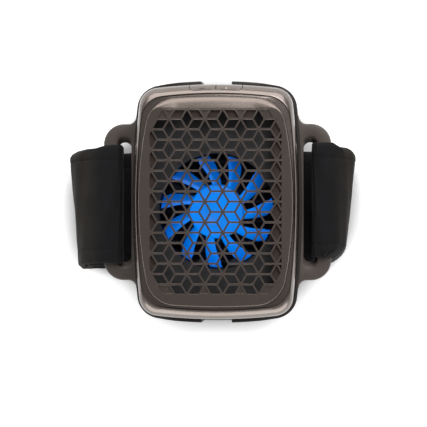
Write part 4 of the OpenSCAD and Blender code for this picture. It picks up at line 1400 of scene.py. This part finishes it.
        def inside(p: Vector) -> bool:
            """Whether a point of the outer face lies in the recess.

            Args:
                p: The point.

            Returns:
                True in the recess, with its cut corners.
            """
            if p.y < self.button_zone or abs(p.x) > self.button_half or not low < p.z < high:
                return False
            outer = p.y > max(UNIT.end_y(p.x) - self.recess_reach, self.recess_front)
            return outer and all((p - a).dot(n) < 0 for a, n in normals)

        self.drop(shape, inside)
        rim = self.rims(shape, lambda p: p.y > self.button_zone and p.z > low - 1)
        made = bmesh.ops.extrude_edge_only(shape.bm, edges=rim)["geom"]
        for vert in (g for g in made if isinstance(g, bmesh.types.BMVert)):
            vert.co.y = self.floor_y
        floor = [g for g in made if isinstance(g, bmesh.types.BMEdge)
                 and all(abs(v.co.y - self.floor_y) < 1e-3 for v in g.verts)]
        bmesh.ops.contextual_create(shape.bm, geom=floor)
        edge = [e for e in rim if e.is_valid and len(e.link_faces) == 2]
        shape.bevel(edge, 0.12, 1)

    def build(self) -> bpy.types.Object:
        """Builds the housing.

        Returns:
            The piece.
        """
        shape = self.draw()
        self.cut_vents(shape)
        self.cut_port(shape)
        self.cut_buttons(shape)
        return shape.finish("front_shell", BRONZE, Body.UNIT, "bronze_plastic",
                            ["front_housing"])


@dataclass
class ButtonCap:
    """One of the two buttons that lie in the shoulder."""

    shell: FrontShell
    side: int
    gap: float = 0.17
    back_y: float = 45.7
    corner_x: float = 9.4
    middle_x: float = 0.15
    top_turn: float = 1.3
    proud: float = 0.02
    columns: int = 10
    rows: int = 12
    edge: float = 0.22
    mark_turn: float = 40.4
    mark_tilt: float = 0.94
    lamp_x: float = 4.3
    lamp_size: tuple[float, float, float] = (0.3, 0.3, 0.1)
    bar_x: float = -5.6
    bar_size: tuple[float, float, float] = (1.5, 0.3, 0.1)

    def build(self) -> bpy.types.Object:
        """Builds the cap as a thick patch of the shoulder.

        Returns:
            The piece.
        """
        sh, shell = self.shell.shoulder, self.shell
        x0, x1 = self.middle_x, shell.button_half - self.gap
        low, turn1 = shell.button_low + self.gap, shell.button_top_turn - self.top_turn
        heights = [(low + (sh.foot - low) * i / 4, 0.0) for i in range(4)]
        turns = [turn1 * i / self.rows for i in range(self.rows + 1)]
        heights += [(sh.height(turn), turn) for turn in turns]
        columns = self.columns
        shape = Shape()
        made = bmesh.ops.create_grid(shape.bm, x_segments=columns, y_segments=len(heights) - 1,
                                     size=0.5)["verts"]
        for vert in made:
            i = round((vert.co.x + 0.5) * columns)
            j = round((vert.co.y + 0.5) * (len(heights) - 1))
            u, turn = heights[j]
            x = x0 + (x1 - x0) * i / columns
            y = sh.outline(turn).end_y(x)
            vert.co = (self.side * x, y + self.proud, u + UNIT_Z)
        a = Vector((self.side * x1, sh.outline(shell.corner_turn).end_y(x1),
                    sh.height(shell.corner_turn - 1) + UNIT_Z))
        b = Vector((self.side * (shell.corner_x - self.gap),
                    sh.outline(turn1).end_y(self.corner_x), sh.height(turn1) + UNIT_Z))
        normal = (b - a).cross(Vector(OUTWARD)).normalized()
        normal *= 1 if normal.x * self.side > 0 else -1
        bm = shape.bm
        bmesh.ops.bisect_plane(bm, geom=[*bm.verts, *bm.edges, *bm.faces], dist=1e-4, plane_co=a,
                               plane_no=normal, clear_outer=True)
        patch = list(bm.faces)
        out = bmesh.ops.extrude_face_region(bm, geom=patch)["geom"]
        bmesh.ops.reverse_faces(bm, faces=[f for f in patch if f.is_valid])
        new = [g for g in out if isinstance(g, bmesh.types.BMVert)]
        old = {v for f in patch for v in f.verts}
        for vert in old:
            vert.co.y = self.back_y
        rim = [e for e in bm.edges if len(e.link_faces) == 2 and e.calc_face_angle(0.0) > 0.8
               and all(v in new for v in e.verts)]
        shape.bevel(rim, self.edge, 2)
        name = "right" if self.side > 0 else "left"
        body = Body.BUTTON_RIGHT if self.side > 0 else Body.BUTTON_LEFT
        return shape.finish(f"button_cap_{name}", CAP, body, "button_plastic",
                            [f"button_{name}"])

    def build_mark(self) -> bpy.types.Object:
        """Builds the lamp on the right button, or the dark bar on the left one.

        Returns:
            The piece.
        """
        sh, turn = self.shell.shoulder, self.mark_turn
        x = self.lamp_x if self.side > 0 else self.bar_x
        spot = Vector((x, sh.outline(turn).end_y(x), sh.height(turn) + UNIT_Z))
        size = self.lamp_size if self.side > 0 else self.bar_size
        shape = Shape()
        tilt = Matrix.Rotation(math.radians(-(90 - turn) * self.mark_tilt), 4, "X")
        bmesh.ops.create_uvsphere(shape.bm, u_segments=20, v_segments=10, radius=1.0,
                                  matrix=Matrix.Translation(spot) @ tilt
                                  @ Matrix.Diagonal((*size, 1)))
        body = Body.BUTTON_RIGHT if self.side > 0 else Body.BUTTON_LEFT
        name, finish = ("button_lamp", LAMP) if self.side > 0 else ("button_bar", MARK)
        return shape.finish(name, finish, body, "button_plastic")


# ---- Front cover -------------------------------------------------------------------------------
class Cell(Enum):
    """What a rhombus of the lattice is."""

    PLAIN = 0
    OPEN = 1
    BLIND = 2
    # A shallow cell whose floor is painted shade, where the real cell is open to the shaded inside.
    SHADED = 3


@dataclass
class Cover:
    """The front cover with its lattice of rhombi."""

    seat: float = 39.8
    top: float = 46.0
    round_w: float = 4.6
    round_top: float = 8.6
    round_edge: float = 0.6
    round_h: float = 2.7
    thick: float = 1.6
    rim: float = 1.8
    rim_top: float = 42.7
    side: float = 4.89
    rib: float = 0.8
    blind: float = 0.9
    shaded: float = 1.35
    shaded_y: float = 35.0
    side_cells: tuple[float, float] = (3.2, 2.0)
    window: tuple[float, float] = (54.1, 75.2)
    star: tuple[float, float] = (3.0, -4.2)
    cut: tuple[float, float] = (5.2, 9.2)
    ease_w: float = 0.1
    margin: float = 0.9
    steps: tuple[float, ...] = (0.0, 0.04, 0.1, 0.2, 0.34, 0.52, 0.75, 1.05, 1.4, 1.9, 2.5, 3.3,
                                4.2, 5.4, 7.0, 9.0)

    def inset(self, x: float, y: float) -> float:
        """How far a point lies inside the cover's outline.

        Args:
            x: Place across.
            y: Place along.

        Returns:
            The distance, less than 0 outside.
        """
        x, y = abs(x), abs(y)
        cx, cy = COVER.corner()
        x1, y2 = COVER.half_w - COVER.side_r, COVER.half_h - COVER.end_r
        if math.atan2(y, x - x1) < math.atan2(cy, cx - x1):
            return COVER.side_r - math.hypot(x - x1, y)
        if math.atan2(y - y2, x) > math.atan2(cy - y2, cx):
            return COVER.end_r - math.hypot(x, y - y2)
        return COVER.corner_r - math.hypot(x - cx, y - cy)

    def high(self, x: float, y: float) -> float:
        """Height of the outer face: long round at the top end, tight at sides and low end.

        Args:
            x: Place across.
            y: Place along.

        Returns:
            Height over the contact face.
        """
        share = ease(24, 41, y) * (1 - ease(14, 27, abs(x)))
        wide = self.round_edge + (self.round_top - self.round_edge) * share
        share = min(1.0, max(0.0, self.inset(x, y) / wide))
        return self.top - self.round_h * (1 - math.sqrt(1 - (1 - share) ** 2))

    def low(self, x: float, y: float) -> float:
        """Height of the inner face."""
        share = (self.inset(x, y) - self.rim) / (self.round_w - self.rim)
        return self.rim_top + (self.top - self.thick - self.rim_top) * min(1.0, max(0.0, share))

    def in_window(self, p: tuple[float, float]) -> bool:
        """Whether a point lies in the lattice window.

        Args:
            p: The point.

        Returns:
            True inside the window, with its cut corners.
        """
        w, h = self.window[0] / 2, self.window[1] / 2
        x, y = abs(p[0]), abs(p[1])
        corner = (w - x) / self.cut[0] + (h - y) / self.cut[1]
        return x < w - 0.4 and y < h + 0.3 and corner > 0.92

    def cells(self) -> list[tuple[float, float, float]]:
        """Finds every rhombus near the window.

        Returns:
            Middle and turn in degrees of each.
        """
        long, step = self.side * math.sqrt(3), self.side * 1.5
        columns = math.ceil(68 / step / 2) + 1
        rows = math.ceil(97.2 / long / 2) + 1
        found = []
        for i in range(-columns, columns + 1):
            for j in range(-rows, rows + 1):
                for turn in (-30, 30, 90):
                    a = math.radians(turn)
                    x = self.star[0] + i * step + long / 2 * math.cos(a)
                    y = self.star[1] + (j + (0.5 if i % 2 else 0)) * long + long / 2 * math.sin(a)
                    if (abs(x) < self.window[0] / 2 + self.side
                            and abs(y) < self.window[1] / 2 + self.side):
                        found.append((x, y, turn))
        return found

    def tips(self, cell: tuple[float, float, float], rib: float) -> list[tuple]:
        """The tips of a rhombus.

        Args:
            cell: Its middle and turn.
            rib: Width of the rib that it leaves to its neighbours.

        Returns:
            The four tips, in order.
        """
        scale = 1 - rib / (self.side * math.sin(math.radians(60)))
        long = self.side * math.sqrt(3)
        out = []
        for k in range(4):
            d = (self.side if k % 2 else long) / 2 * scale
            a = math.radians(cell[2] + 90 * k)
            out.append((cell[0] + d * math.cos(a), cell[1] + d * math.sin(a)))
        return out

    def kind(self, cell: tuple[float, float, float]) -> Cell:
        """What a rhombus is, by its place in the window.

        Args:
            cell: Its middle and turn.

        Returns:
            The kind.
        """
        inside = [self.in_window(p) for p in self.tips(cell, self.rib)]
        x, y = abs(cell[0]), abs(cell[1])
        if all(inside):
            return Cell.SHADED if cell[1] > self.shaded_y else Cell.OPEN
        if not any(inside) and not self.in_window(cell[:2]):
            return Cell.PLAIN
        half = self.window[1] / 2 - self.cut[1] + self.side_cells[1]
        outer = x > self.window[0] / 2 - self.side_cells[0] and y < half
        return Cell.SHADED if outer else Cell.BLIND

    def planes(self, grow: float) -> list[tuple[Vector, Vector]]:
        """The sides of the window as planes.

        Args:
            grow: How far they are moved out.

        Returns:
            Point and normal of each.
        """
        w, h = self.window[0] / 2, self.window[1] / 2
        slope = Vector((1 / self.cut[0], 1 / self.cut[1], 0)).normalized()
        far = Vector((w, h - self.cut[1], 0)).dot(slope) + grow
        found = []
        for sx, sy in ((1, 1), (-1, 1), (-1, -1), (1, -1)):
            normal = Vector((sx * slope.x, sy * slope.y, 0))
            found.append((normal * far, normal))
        for normal, far in (((1, 0, 0), w), ((-1, 0, 0), w), ((0, 1, 0), h), ((0, -1, 0), h)):
            found.append((Vector(normal) * (far + grow), Vector(normal)))
        return found

    def cut_window(self, shape: Shape, test: Callable, grow: float, clear: bool) -> None:
        """Cuts flat faces along the window.

        Args:
            shape: The shape.
            test: Test that picks the faces to cut.
            grow: How far the cuts stand out from the window.
            clear: Whether what lies outside goes.
        """
        for at, normal in self.planes(grow):
            picked = [f for f in shape.bm.faces if test(f)]
            geom = {*picked, *(e for f in picked for e in f.edges),
                    *(v for f in picked for v in f.verts)}
            bmesh.ops.bisect_plane(shape.bm, geom=list(geom), dist=1e-5, plane_co=at,
                                   plane_no=normal, clear_outer=clear)

    def within(self, p: Vector, grow: float) -> bool:
        """Whether a point lies inside the window moved out by grow."""
        return all((Vector((p.x, p.y, 0)) - at).dot(normal) < 0
                   for at, normal in self.planes(grow))

    def lattice(self, through: bool) -> Shape:
        """Flat sheet of ribs, as wide as the window and its margin.

        Args:
            through: Whether the cells get their walls and floors, as on the outer face.

        Returns:
            The sheet at height 0, with walls down to -9.
        """
        shape = Shape()
        bm = shape.bm
        kinds = {}
        for cell in self.cells():
            made = bmesh.ops.create_circle(bm, segments=4, radius=1, cap_ends=True)["verts"]
            for vert, (x, y) in zip(made, self.tips(cell, 0.0)):
                vert.co = (x, y, 0)
            kinds[round(cell[0], 1), round(cell[1], 1)] = self.kind(cell)
        bmesh.ops.remove_doubles(bm, verts=bm.verts, dist=1e-3)
        layer = bm.faces.layers.int.new("kind")
        for face in bm.faces:
            spot = face.calc_center_median()
            face[layer] = kinds[round(spot.x, 1), round(spot.y, 1)].value
            if face.normal.z < 0:
                face.normal_flip()
        self.cut_window(shape, lambda f: True, self.margin, True)

        def inset(kind: Cell, width: float) -> list[bmesh.types.BMFace]:
            """Draws the faces of one kind in, and makes what is left round them plain.

            Args:
                kind: The kind.
                width: How far they are drawn in.

            Returns:
                The faces.
            """
            faces = [f for f in bm.faces if f[layer] == kind.value]
            made = bmesh.ops.inset_individual(bm, faces=faces, thickness=width,
                                              use_even_offset=True)["faces"]
            for face in made:
                face[layer] = Cell.PLAIN.value
            return faces

        if not through:
            bmesh.ops.delete(bm, geom=inset(Cell.OPEN, self.rib / 2), context="FACES")
            return shape
        for kind in (Cell.OPEN, Cell.BLIND, Cell.SHADED):
            inset(kind, self.rib / 2 - self.ease_w)
        sunk = (Cell.BLIND.value, Cell.SHADED.value)
        self.cut_window(shape, lambda f: f[layer] in sunk, 0.0, False)
        for face in bm.faces:
            if face[layer] in sunk and (
                    face.calc_area() < 0.3 or not self.within(face.calc_center_median(), 0.0)):
                face[layer] = Cell.PLAIN.value
        for kind, depth in ((Cell.OPEN, 9.0), (Cell.BLIND, self.blind),
                            (Cell.SHADED, self.shaded)):
            faces = inset(kind, self.ease_w)
            for vert in {v for f in faces for v in f.verts}:
                vert.co.z = -self.ease_w
            floor = bmesh.ops.extrude_discrete_faces(bm, faces=faces)["faces"]
            for vert in {v for f in floor for v in f.verts}:
                vert.co.z = -depth
            if kind is Cell.OPEN:
                bmesh.ops.delete(bm, geom=floor, context="FACES")
            # The floors of the shaded cells take the second material, the painted shade.
            elif kind is Cell.SHADED:
                for face in floor:
                    face.material_index = 1
        return shape

    def border(self, insets: Sequence[float]) -> Shape:
        """Flat rings from the cover's edge to the window's margin.

        Args:
            insets: How far each ring stands in from the cover's outline.

        Returns:
            The rings at height 0.
        """
        shape = Shape()
        for i, inset in enumerate(insets):
            points = COVER.grow(-inset).points(0, steps=20)
            shape.start(points) if i == 0 else shape.pull(points)
        shape.cap(shape.ring)
        self.cut_window(shape, lambda f: True, self.margin, False)
        inner = [f for f in shape.bm.faces if self.within(f.calc_center_median(), self.margin)]
        bmesh.ops.delete(shape.bm, geom=inner, context="FACES")
        return shape

    def stitch(self, bm: bmesh.types.BMesh) -> None:
        """Gives the open edges along the window's margin each other's vertices, and joins them.

        Args:
            bm: The lattice and its border, both at height 0.
        """
        def on_margin(p: Vector) -> bool:
            """Whether a point lies on the window's margin."""
            return (abs(p.z) < 1e-6 and self.within(p, self.margin + 0.01)
                    and not self.within(p, self.margin - 0.01))

        pool = [e for e in bm.edges if e.is_boundary and all(on_margin(v.co) for v in e.verts)]
        for spot in [v.co.copy() for v in {v for e in pool for v in e.verts}]:
            for edge in list(pool):
                start, end = edge.verts[0].co, edge.verts[1].co
                way = end - start
                share = (spot - start).dot(way) / way.length_squared
                off = (start + way * share - spot).length
                if off < 0.004 and 0.002 < share * way.length < way.length - 0.002:
                    fresh, vert = bmesh.utils.edge_split(edge, edge.verts[0], share)
                    vert.co = spot
                    pool.append(fresh)
        bmesh.ops.remove_doubles(bm, verts=list({v for e in pool for v in e.verts}), dist=0.003)

    def face(self, through: bool) -> bmesh.types.BMesh:
        """One face of the cover, in its place.

        Args:
            through: Whether it is the outer face.

        Returns:
            The mesh.
        """
        border = self.border(self.steps if through else (self.rim, 3.2, self.round_w, 6.0))
        lattice = self.lattice(through)
        bm = border.bm
        absorb(bm, lattice.bm)
        self.stitch(bm)
        for vert in bm.verts:
            x, y, z = vert.co
            high, low = self.high(x, y), self.low(x, y)
            vert.co.z = UNIT_Z + (low if z < -8 or not through else high + z)
        return bm

    def build(self) -> bpy.types.Object:
        """Builds the cover.

        Returns:
            The piece.
        """
        shape = Shape()
        skirt = self.top - self.round_h
        edge = [(0.0, skirt), (0.0, self.seat), (self.rim, self.seat), (self.rim, self.rim_top)]
        for i, (inset, u) in enumerate(edge):
            points = COVER.grow(-inset).points(u + UNIT_Z, steps=20)
            shape.start(points) if i == 0 else shape.pull(points)
        self.cut_window(shape, lambda f: True, self.margin, False)
        for through in (True, False):
            absorb(shape.bm, self.face(through))
        bmesh.ops.remove_doubles(shape.bm, verts=shape.bm.verts, dist=0.02)
        open_edges = sum(1 for e in shape.bm.edges if not e.is_manifold)
        LOG.info("lattice: %d edges left open", open_edges)
        piece = shape.finish("front_grille", GRILLE, Body.UNIT, "bronze_plastic", ["front_cover"],
                             30)
        # Second material: the painted shade on the shaded cells' floors.
        piece.data.materials.append(SHADE.material())
        return piece


# ---- Fan wheel ---------------------------------------------------------------------------------
@dataclass
class FanWheel:
    """The lit fan wheel: hub and curved, swept blades."""

    centre: tuple[float, float] = (0.3, -3.9)
    hub_r: float = 11.3
    tip_r: float = 23.3
    cup_low: float = 27.2
    cup_top: float = 34.7
    wall: float = 2.2
    roof: float = 1.4
    blades: int = 11
    first: float = -8.0
    sweep: float = 15.0
    root_w: float = 3.4
    tip_w: float = 6.6
    pitch: float = 38.0
    thick: float = 0.9
    camber: float = 0.5
    middle: float = 30.85

    def circle(self, r: float, u: float, n: int = 72) -> list[Vector]:
        """Points of a circle round the axis.

        Args:
            r: Its radius.
            u: Height over the contact face.
            n: Number of points.

        Returns:
            The points.
        """
        x, y = self.centre
        return [Vector((x + r * math.cos(a), y + r * math.sin(a), u + UNIT_Z))
                for a in (2 * math.pi * i / n for i in range(n))]

    def draw_hub(self, shape: Shape) -> None:
        """Draws the cup with its rounded edge and shallow middle.

        Args:
            shape: The wheel.
        """
        inner = self.hub_r - self.wall
        top = self.cup_top
        shape.cap(shape.start(self.circle(inner, top - self.roof)))
        for r, u in ((inner, self.cup_low), (self.hub_r, self.cup_low), (self.hub_r, top - 1.0),
                     (self.hub_r - 0.12, top - 0.6), (self.hub_r - 0.4, top - 0.25),
                     (self.hub_r - 0.9, top), (4.4, top), (4.0, top - 0.25), (1.2, top - 0.3)):
            shape.pull(self.circle(r, u))
        shape.cap(shape.ring)

    def section(self, turn: float, t: float) -> list[Vector]:
        """Points round one blade at a share of its reach.

        Args:
            turn: Angle of the blade's root in degrees.
            t: Share of the way from the root to the tip.

        Returns:
            The section's points.
        """
        r = self.hub_r - 0.6 + (self.tip_r - self.hub_r + 0.6) * t
        w = self.root_w + (self.tip_w - self.root_w) * t
        lean = math.tan(math.radians(self.pitch))
        tip = 1.0 if t < 0.9 else 0.82
        points = []
        for face in (1, -1):
            for k in range(7):
                s = face * (1 - k / 3)
                a = math.radians(turn + self.sweep * t) + s * tip * (w / 2) / r
                bend = self.camber * (1 - s * s)
                half = self.thick / 2 * (1 - 0.7 * abs(s) ** 3) * face
                u = self.middle + s * tip * (w / 2) * lean + bend + half
                points.append(Vector((self.centre[0] + r * math.cos(a),
                                      self.centre[1] + r * math.sin(a), u + UNIT_Z)))
        return points

    def build(self) -> bpy.types.Object:
        """Builds the wheel.

        Returns:
            The piece.
        """
        shape = Shape()
        self.draw_hub(shape)
        for k in range(self.blades):
            turn = self.first + 360 / self.blades * k
            for i in range(11):
                points = self.section(turn, i / 10)
                ring = shape.start(points) if i == 0 else shape.pull(points)
                if i in (0, 10):
                    shape.cap(ring)
        shape.weld()
        return shape.finish("fan_wheel", AZURE, Body.ROTOR, "lit_blue", ["fan_rotor"], 50)


# ---- CAD nodes that stay -----------------------------------------------------------------------
@dataclass
class Inside:
    """CAD nodes whose shape is right, with the finish that each one gets."""

    finishes: dict[str, Finish] = field(default_factory=lambda: {
        "contact_plate": ALUMINIUM, "plate_gasket": RUBBER, "rear_housing": BRONZE,
        "thermal_pad_lower": PAD, "thermoelectric_module": CERAMIC, "thermal_pad_upper": PAD,
        "insulation_foam": FOAM, "heat_sink": ANODISED_AS_SHADE, "heat_sink_screws": STEEL,
        "fan_frame": BLACK, "fan_stator": LAMINATION, "fan_bearing": BRASS, "fan_shaft": STEEL,
        "fan_screws": STEEL, "led_ring": RINGLIGHT, "fan_shroud": BAFFLE, "main_board": BOARD,
        "tact_switches": SWITCH, "battery_pack": WRAP, "battery_tray": TRAY,
        "charge_board": BOARD, "usb_c_port": NICKEL, "temperature_sensor": SENSOR,
        "housing_screws": STEEL, "module_leads": LEAD, "fan_lead": RUNLEAD,
        "battery_lead": LEAD,
    })

    def soften(self, node: bpy.types.Object) -> None:
        """Joins a node's loose triangles and shades its round faces smooth.

        Args:
            node: The node's object.
        """
        for face in node.data.polygons:
            face.use_smooth = True
        node.modifiers.new("weld", "WELD").merge_threshold = 1e-6
        split = node.modifiers.new("edges", "EDGE_SPLIT")
        split.split_angle = math.radians(30)

    def build(self) -> None:
        """Dresses every node that stays."""
        for name, finish in self.finishes.items():
            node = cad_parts[name]
            node.data.materials.clear()
            node.data.materials.append(finish.material())
            self.soften(node)
            LOG.info("%s keeps its shape, finish %s", name, finish.name)


# ---- Studio ------------------------------------------------------------------------------------
@dataclass
class Studio:
    """Pale floor, soft light and the camera."""

    focal: float = 150.0
    tilt: float = 2.0
    target: tuple[float, float, float] = (-0.78, -4.83, 51.4)
    distance: float = 727.0
    wall_light: float = 0.65
    side_light: float = 0.3
    lights: tuple[tuple[str, tuple, tuple, float], ...] = (
        ("key", (0.5, 0.75, 1.2), (0.9, 0.7), 9.0),
        ("strip_top", (0.0, 0.75, 0.42), (1.3, 0.6), 6.5),
        ("strip_low", (0.0, -0.32, 0.07), (0.7, 0.14), 0.75))
    lit_spot: tuple[float, float, float] = (0.0, 0.0, 0.03)
    ceiling_light: float = 0.25
    floor_glow: float = 0.9
    floor_tones: tuple[float, float] = (0.72, 0.75)
    floor_rough: float = 0.9
    shadow_reach: float = 0.022
    shadow_span: tuple[float, float] = (0.53, 0.82)
    open_side: tuple[float, float, float] = (0.0, 0.45, 0.89)

    def camera(self) -> None:
        """Sets the camera at the photograph's angle."""
        data = bpy.data.cameras.new("camera")
        data.lens = self.focal
        data.sensor_width = 36
        a = math.radians(self.tilt)
        away = Vector((math.sin(a), 0, math.cos(a))) * self.distance
        camera = bpy.data.objects.new("camera", data)
        camera.location = (Vector(self.target) + away) * MM
        camera.rotation_euler = (0, a, 0)
        bpy.context.scene.collection.objects.link(camera)
        bpy.context.scene.camera = camera

    def lamps(self) -> None:
        """Adds the soft lamps, which point at the unit: the key and a strip beside each end."""
        for name, spot, size, power in self.lights:
            data = bpy.data.lights.new(name, "AREA")
            data.shape = "RECTANGLE"
            data.size, data.size_y = size
            data.energy = power
            lamp = bpy.data.objects.new(name, data)
            lamp.location = spot
            lamp.visible_camera = False
            way = Vector(self.lit_spot) - Vector(spot)
            lamp.rotation_euler = way.to_track_quat("-Z", "Y").to_euler()
            bpy.context.scene.collection.objects.link(lamp)

    def world(self) -> None:
        """Sets pale walls all round under a dim ceiling."""
        world = bpy.data.worlds.new("studio")
        bpy.context.scene.world = world
        world.use_nodes = True
        n = Nodes(world.node_tree)
        back = world.node_tree.nodes["Background"]
        way = n.add("SeparateXYZ", {0: n.add("TexCoord").outputs["Generated"]}).outputs
        ends = n.add("MapRange", {0: n.math("ABSOLUTE", way[1]), 1: 0.35, 2: 0.75,
                                  3: self.side_light, 4: self.wall_light})
        rise = n.add("MapRange", {0: way[2], 1: 0.25, 2: 1.0})
        light = n.add("Mix", {0: rise.outputs[0], 2: ends.outputs[0], 3: self.ceiling_light})
        n.tree.links.new(light.outputs[0], back.inputs["Color"])
        back.inputs["Strength"].default_value = 1.0

    def floor(self) -> None:
        """Lays the pale floor, whose glow is cut near the object to paint a contact shadow."""
        bm = bmesh.new()
        bmesh.ops.create_grid(bm, x_segments=8, y_segments=8, size=3.0)
        mesh = bpy.data.meshes.new("floor")
        bm.to_mesh(mesh)
        bm.free()
        floor = bpy.data.objects.new("floor", mesh)
        bpy.context.scene.collection.objects.link(floor)
        material = bpy.data.materials.new("floor_white")
        material.use_nodes = True
        n = Nodes(material.node_tree)
        shader = material.node_tree.nodes["Principled BSDF"]
        tone = n.add("TexNoise", {"Vector": Finish.place(n), "Scale": 6.0, "Detail": 2.0})
        dark, pale = ((t, t, t) for t in self.floor_tones)
        n.tree.links.new(n.mix(tone.outputs[0], dark, pale), shader.inputs["Base Color"])
        shader.inputs["Roughness"].default_value = self.floor_rough
        path = n.add("LightPath")
        # Painted shadow: the glow fades where ambient occlusion, tilted towards +Y by open_side,
        # finds the object near, so a contact shadow is painted on the -Y side.
        near = n.add("AmbientOcclusion", {"Distance": self.shadow_reach,
                                          "Normal": self.open_side}, samples=16)
        free = n.add("MapRange", {0: near.outputs["AO"], 1: self.shadow_span[0],
                                  2: self.shadow_span[1]}).outputs[0]
        seen = n.math("MAXIMUM", path.outputs["Is Camera Ray"],
                      n.math("MULTIPLY", path.outputs["Is Glossy Ray"], 0.5))
        power = n.math("MULTIPLY", seen, n.math("MULTIPLY", free, self.floor_glow))
        glow = n.add("Emission", {"Color": (1, 1, 1, 1), "Strength": power})
        both = n.add("AddShader", {0: shader.outputs[0], 1: glow.outputs[0]})
        n.tree.links.new(both.outputs[0], material.node_tree.nodes["Material Output"].inputs[0])
        mesh.materials.append(material)

    def build(self) -> None:
        """Builds the whole studio."""
        bpy.context.scene.view_settings.view_transform = "Standard"
        self.camera()
        self.floor()
        self.world()
        self.lamps()


def main() -> None:
    """Builds the pieces in order and the studio round them."""
    logging.basicConfig(level=logging.INFO, format="%(name)s %(message)s")
    shell = FrontShell(Shoulder())
    Studio().build()
    Cradle().build()
    Strap().build()
    shell.build()
    for side in (-1, 1):
        cap = ButtonCap(shell, side)
        cap.build()
        cap.build_mark()
    Cover().build()
    FanWheel().build()
    Inside().build()


if __name__ == "__main__":
    main()
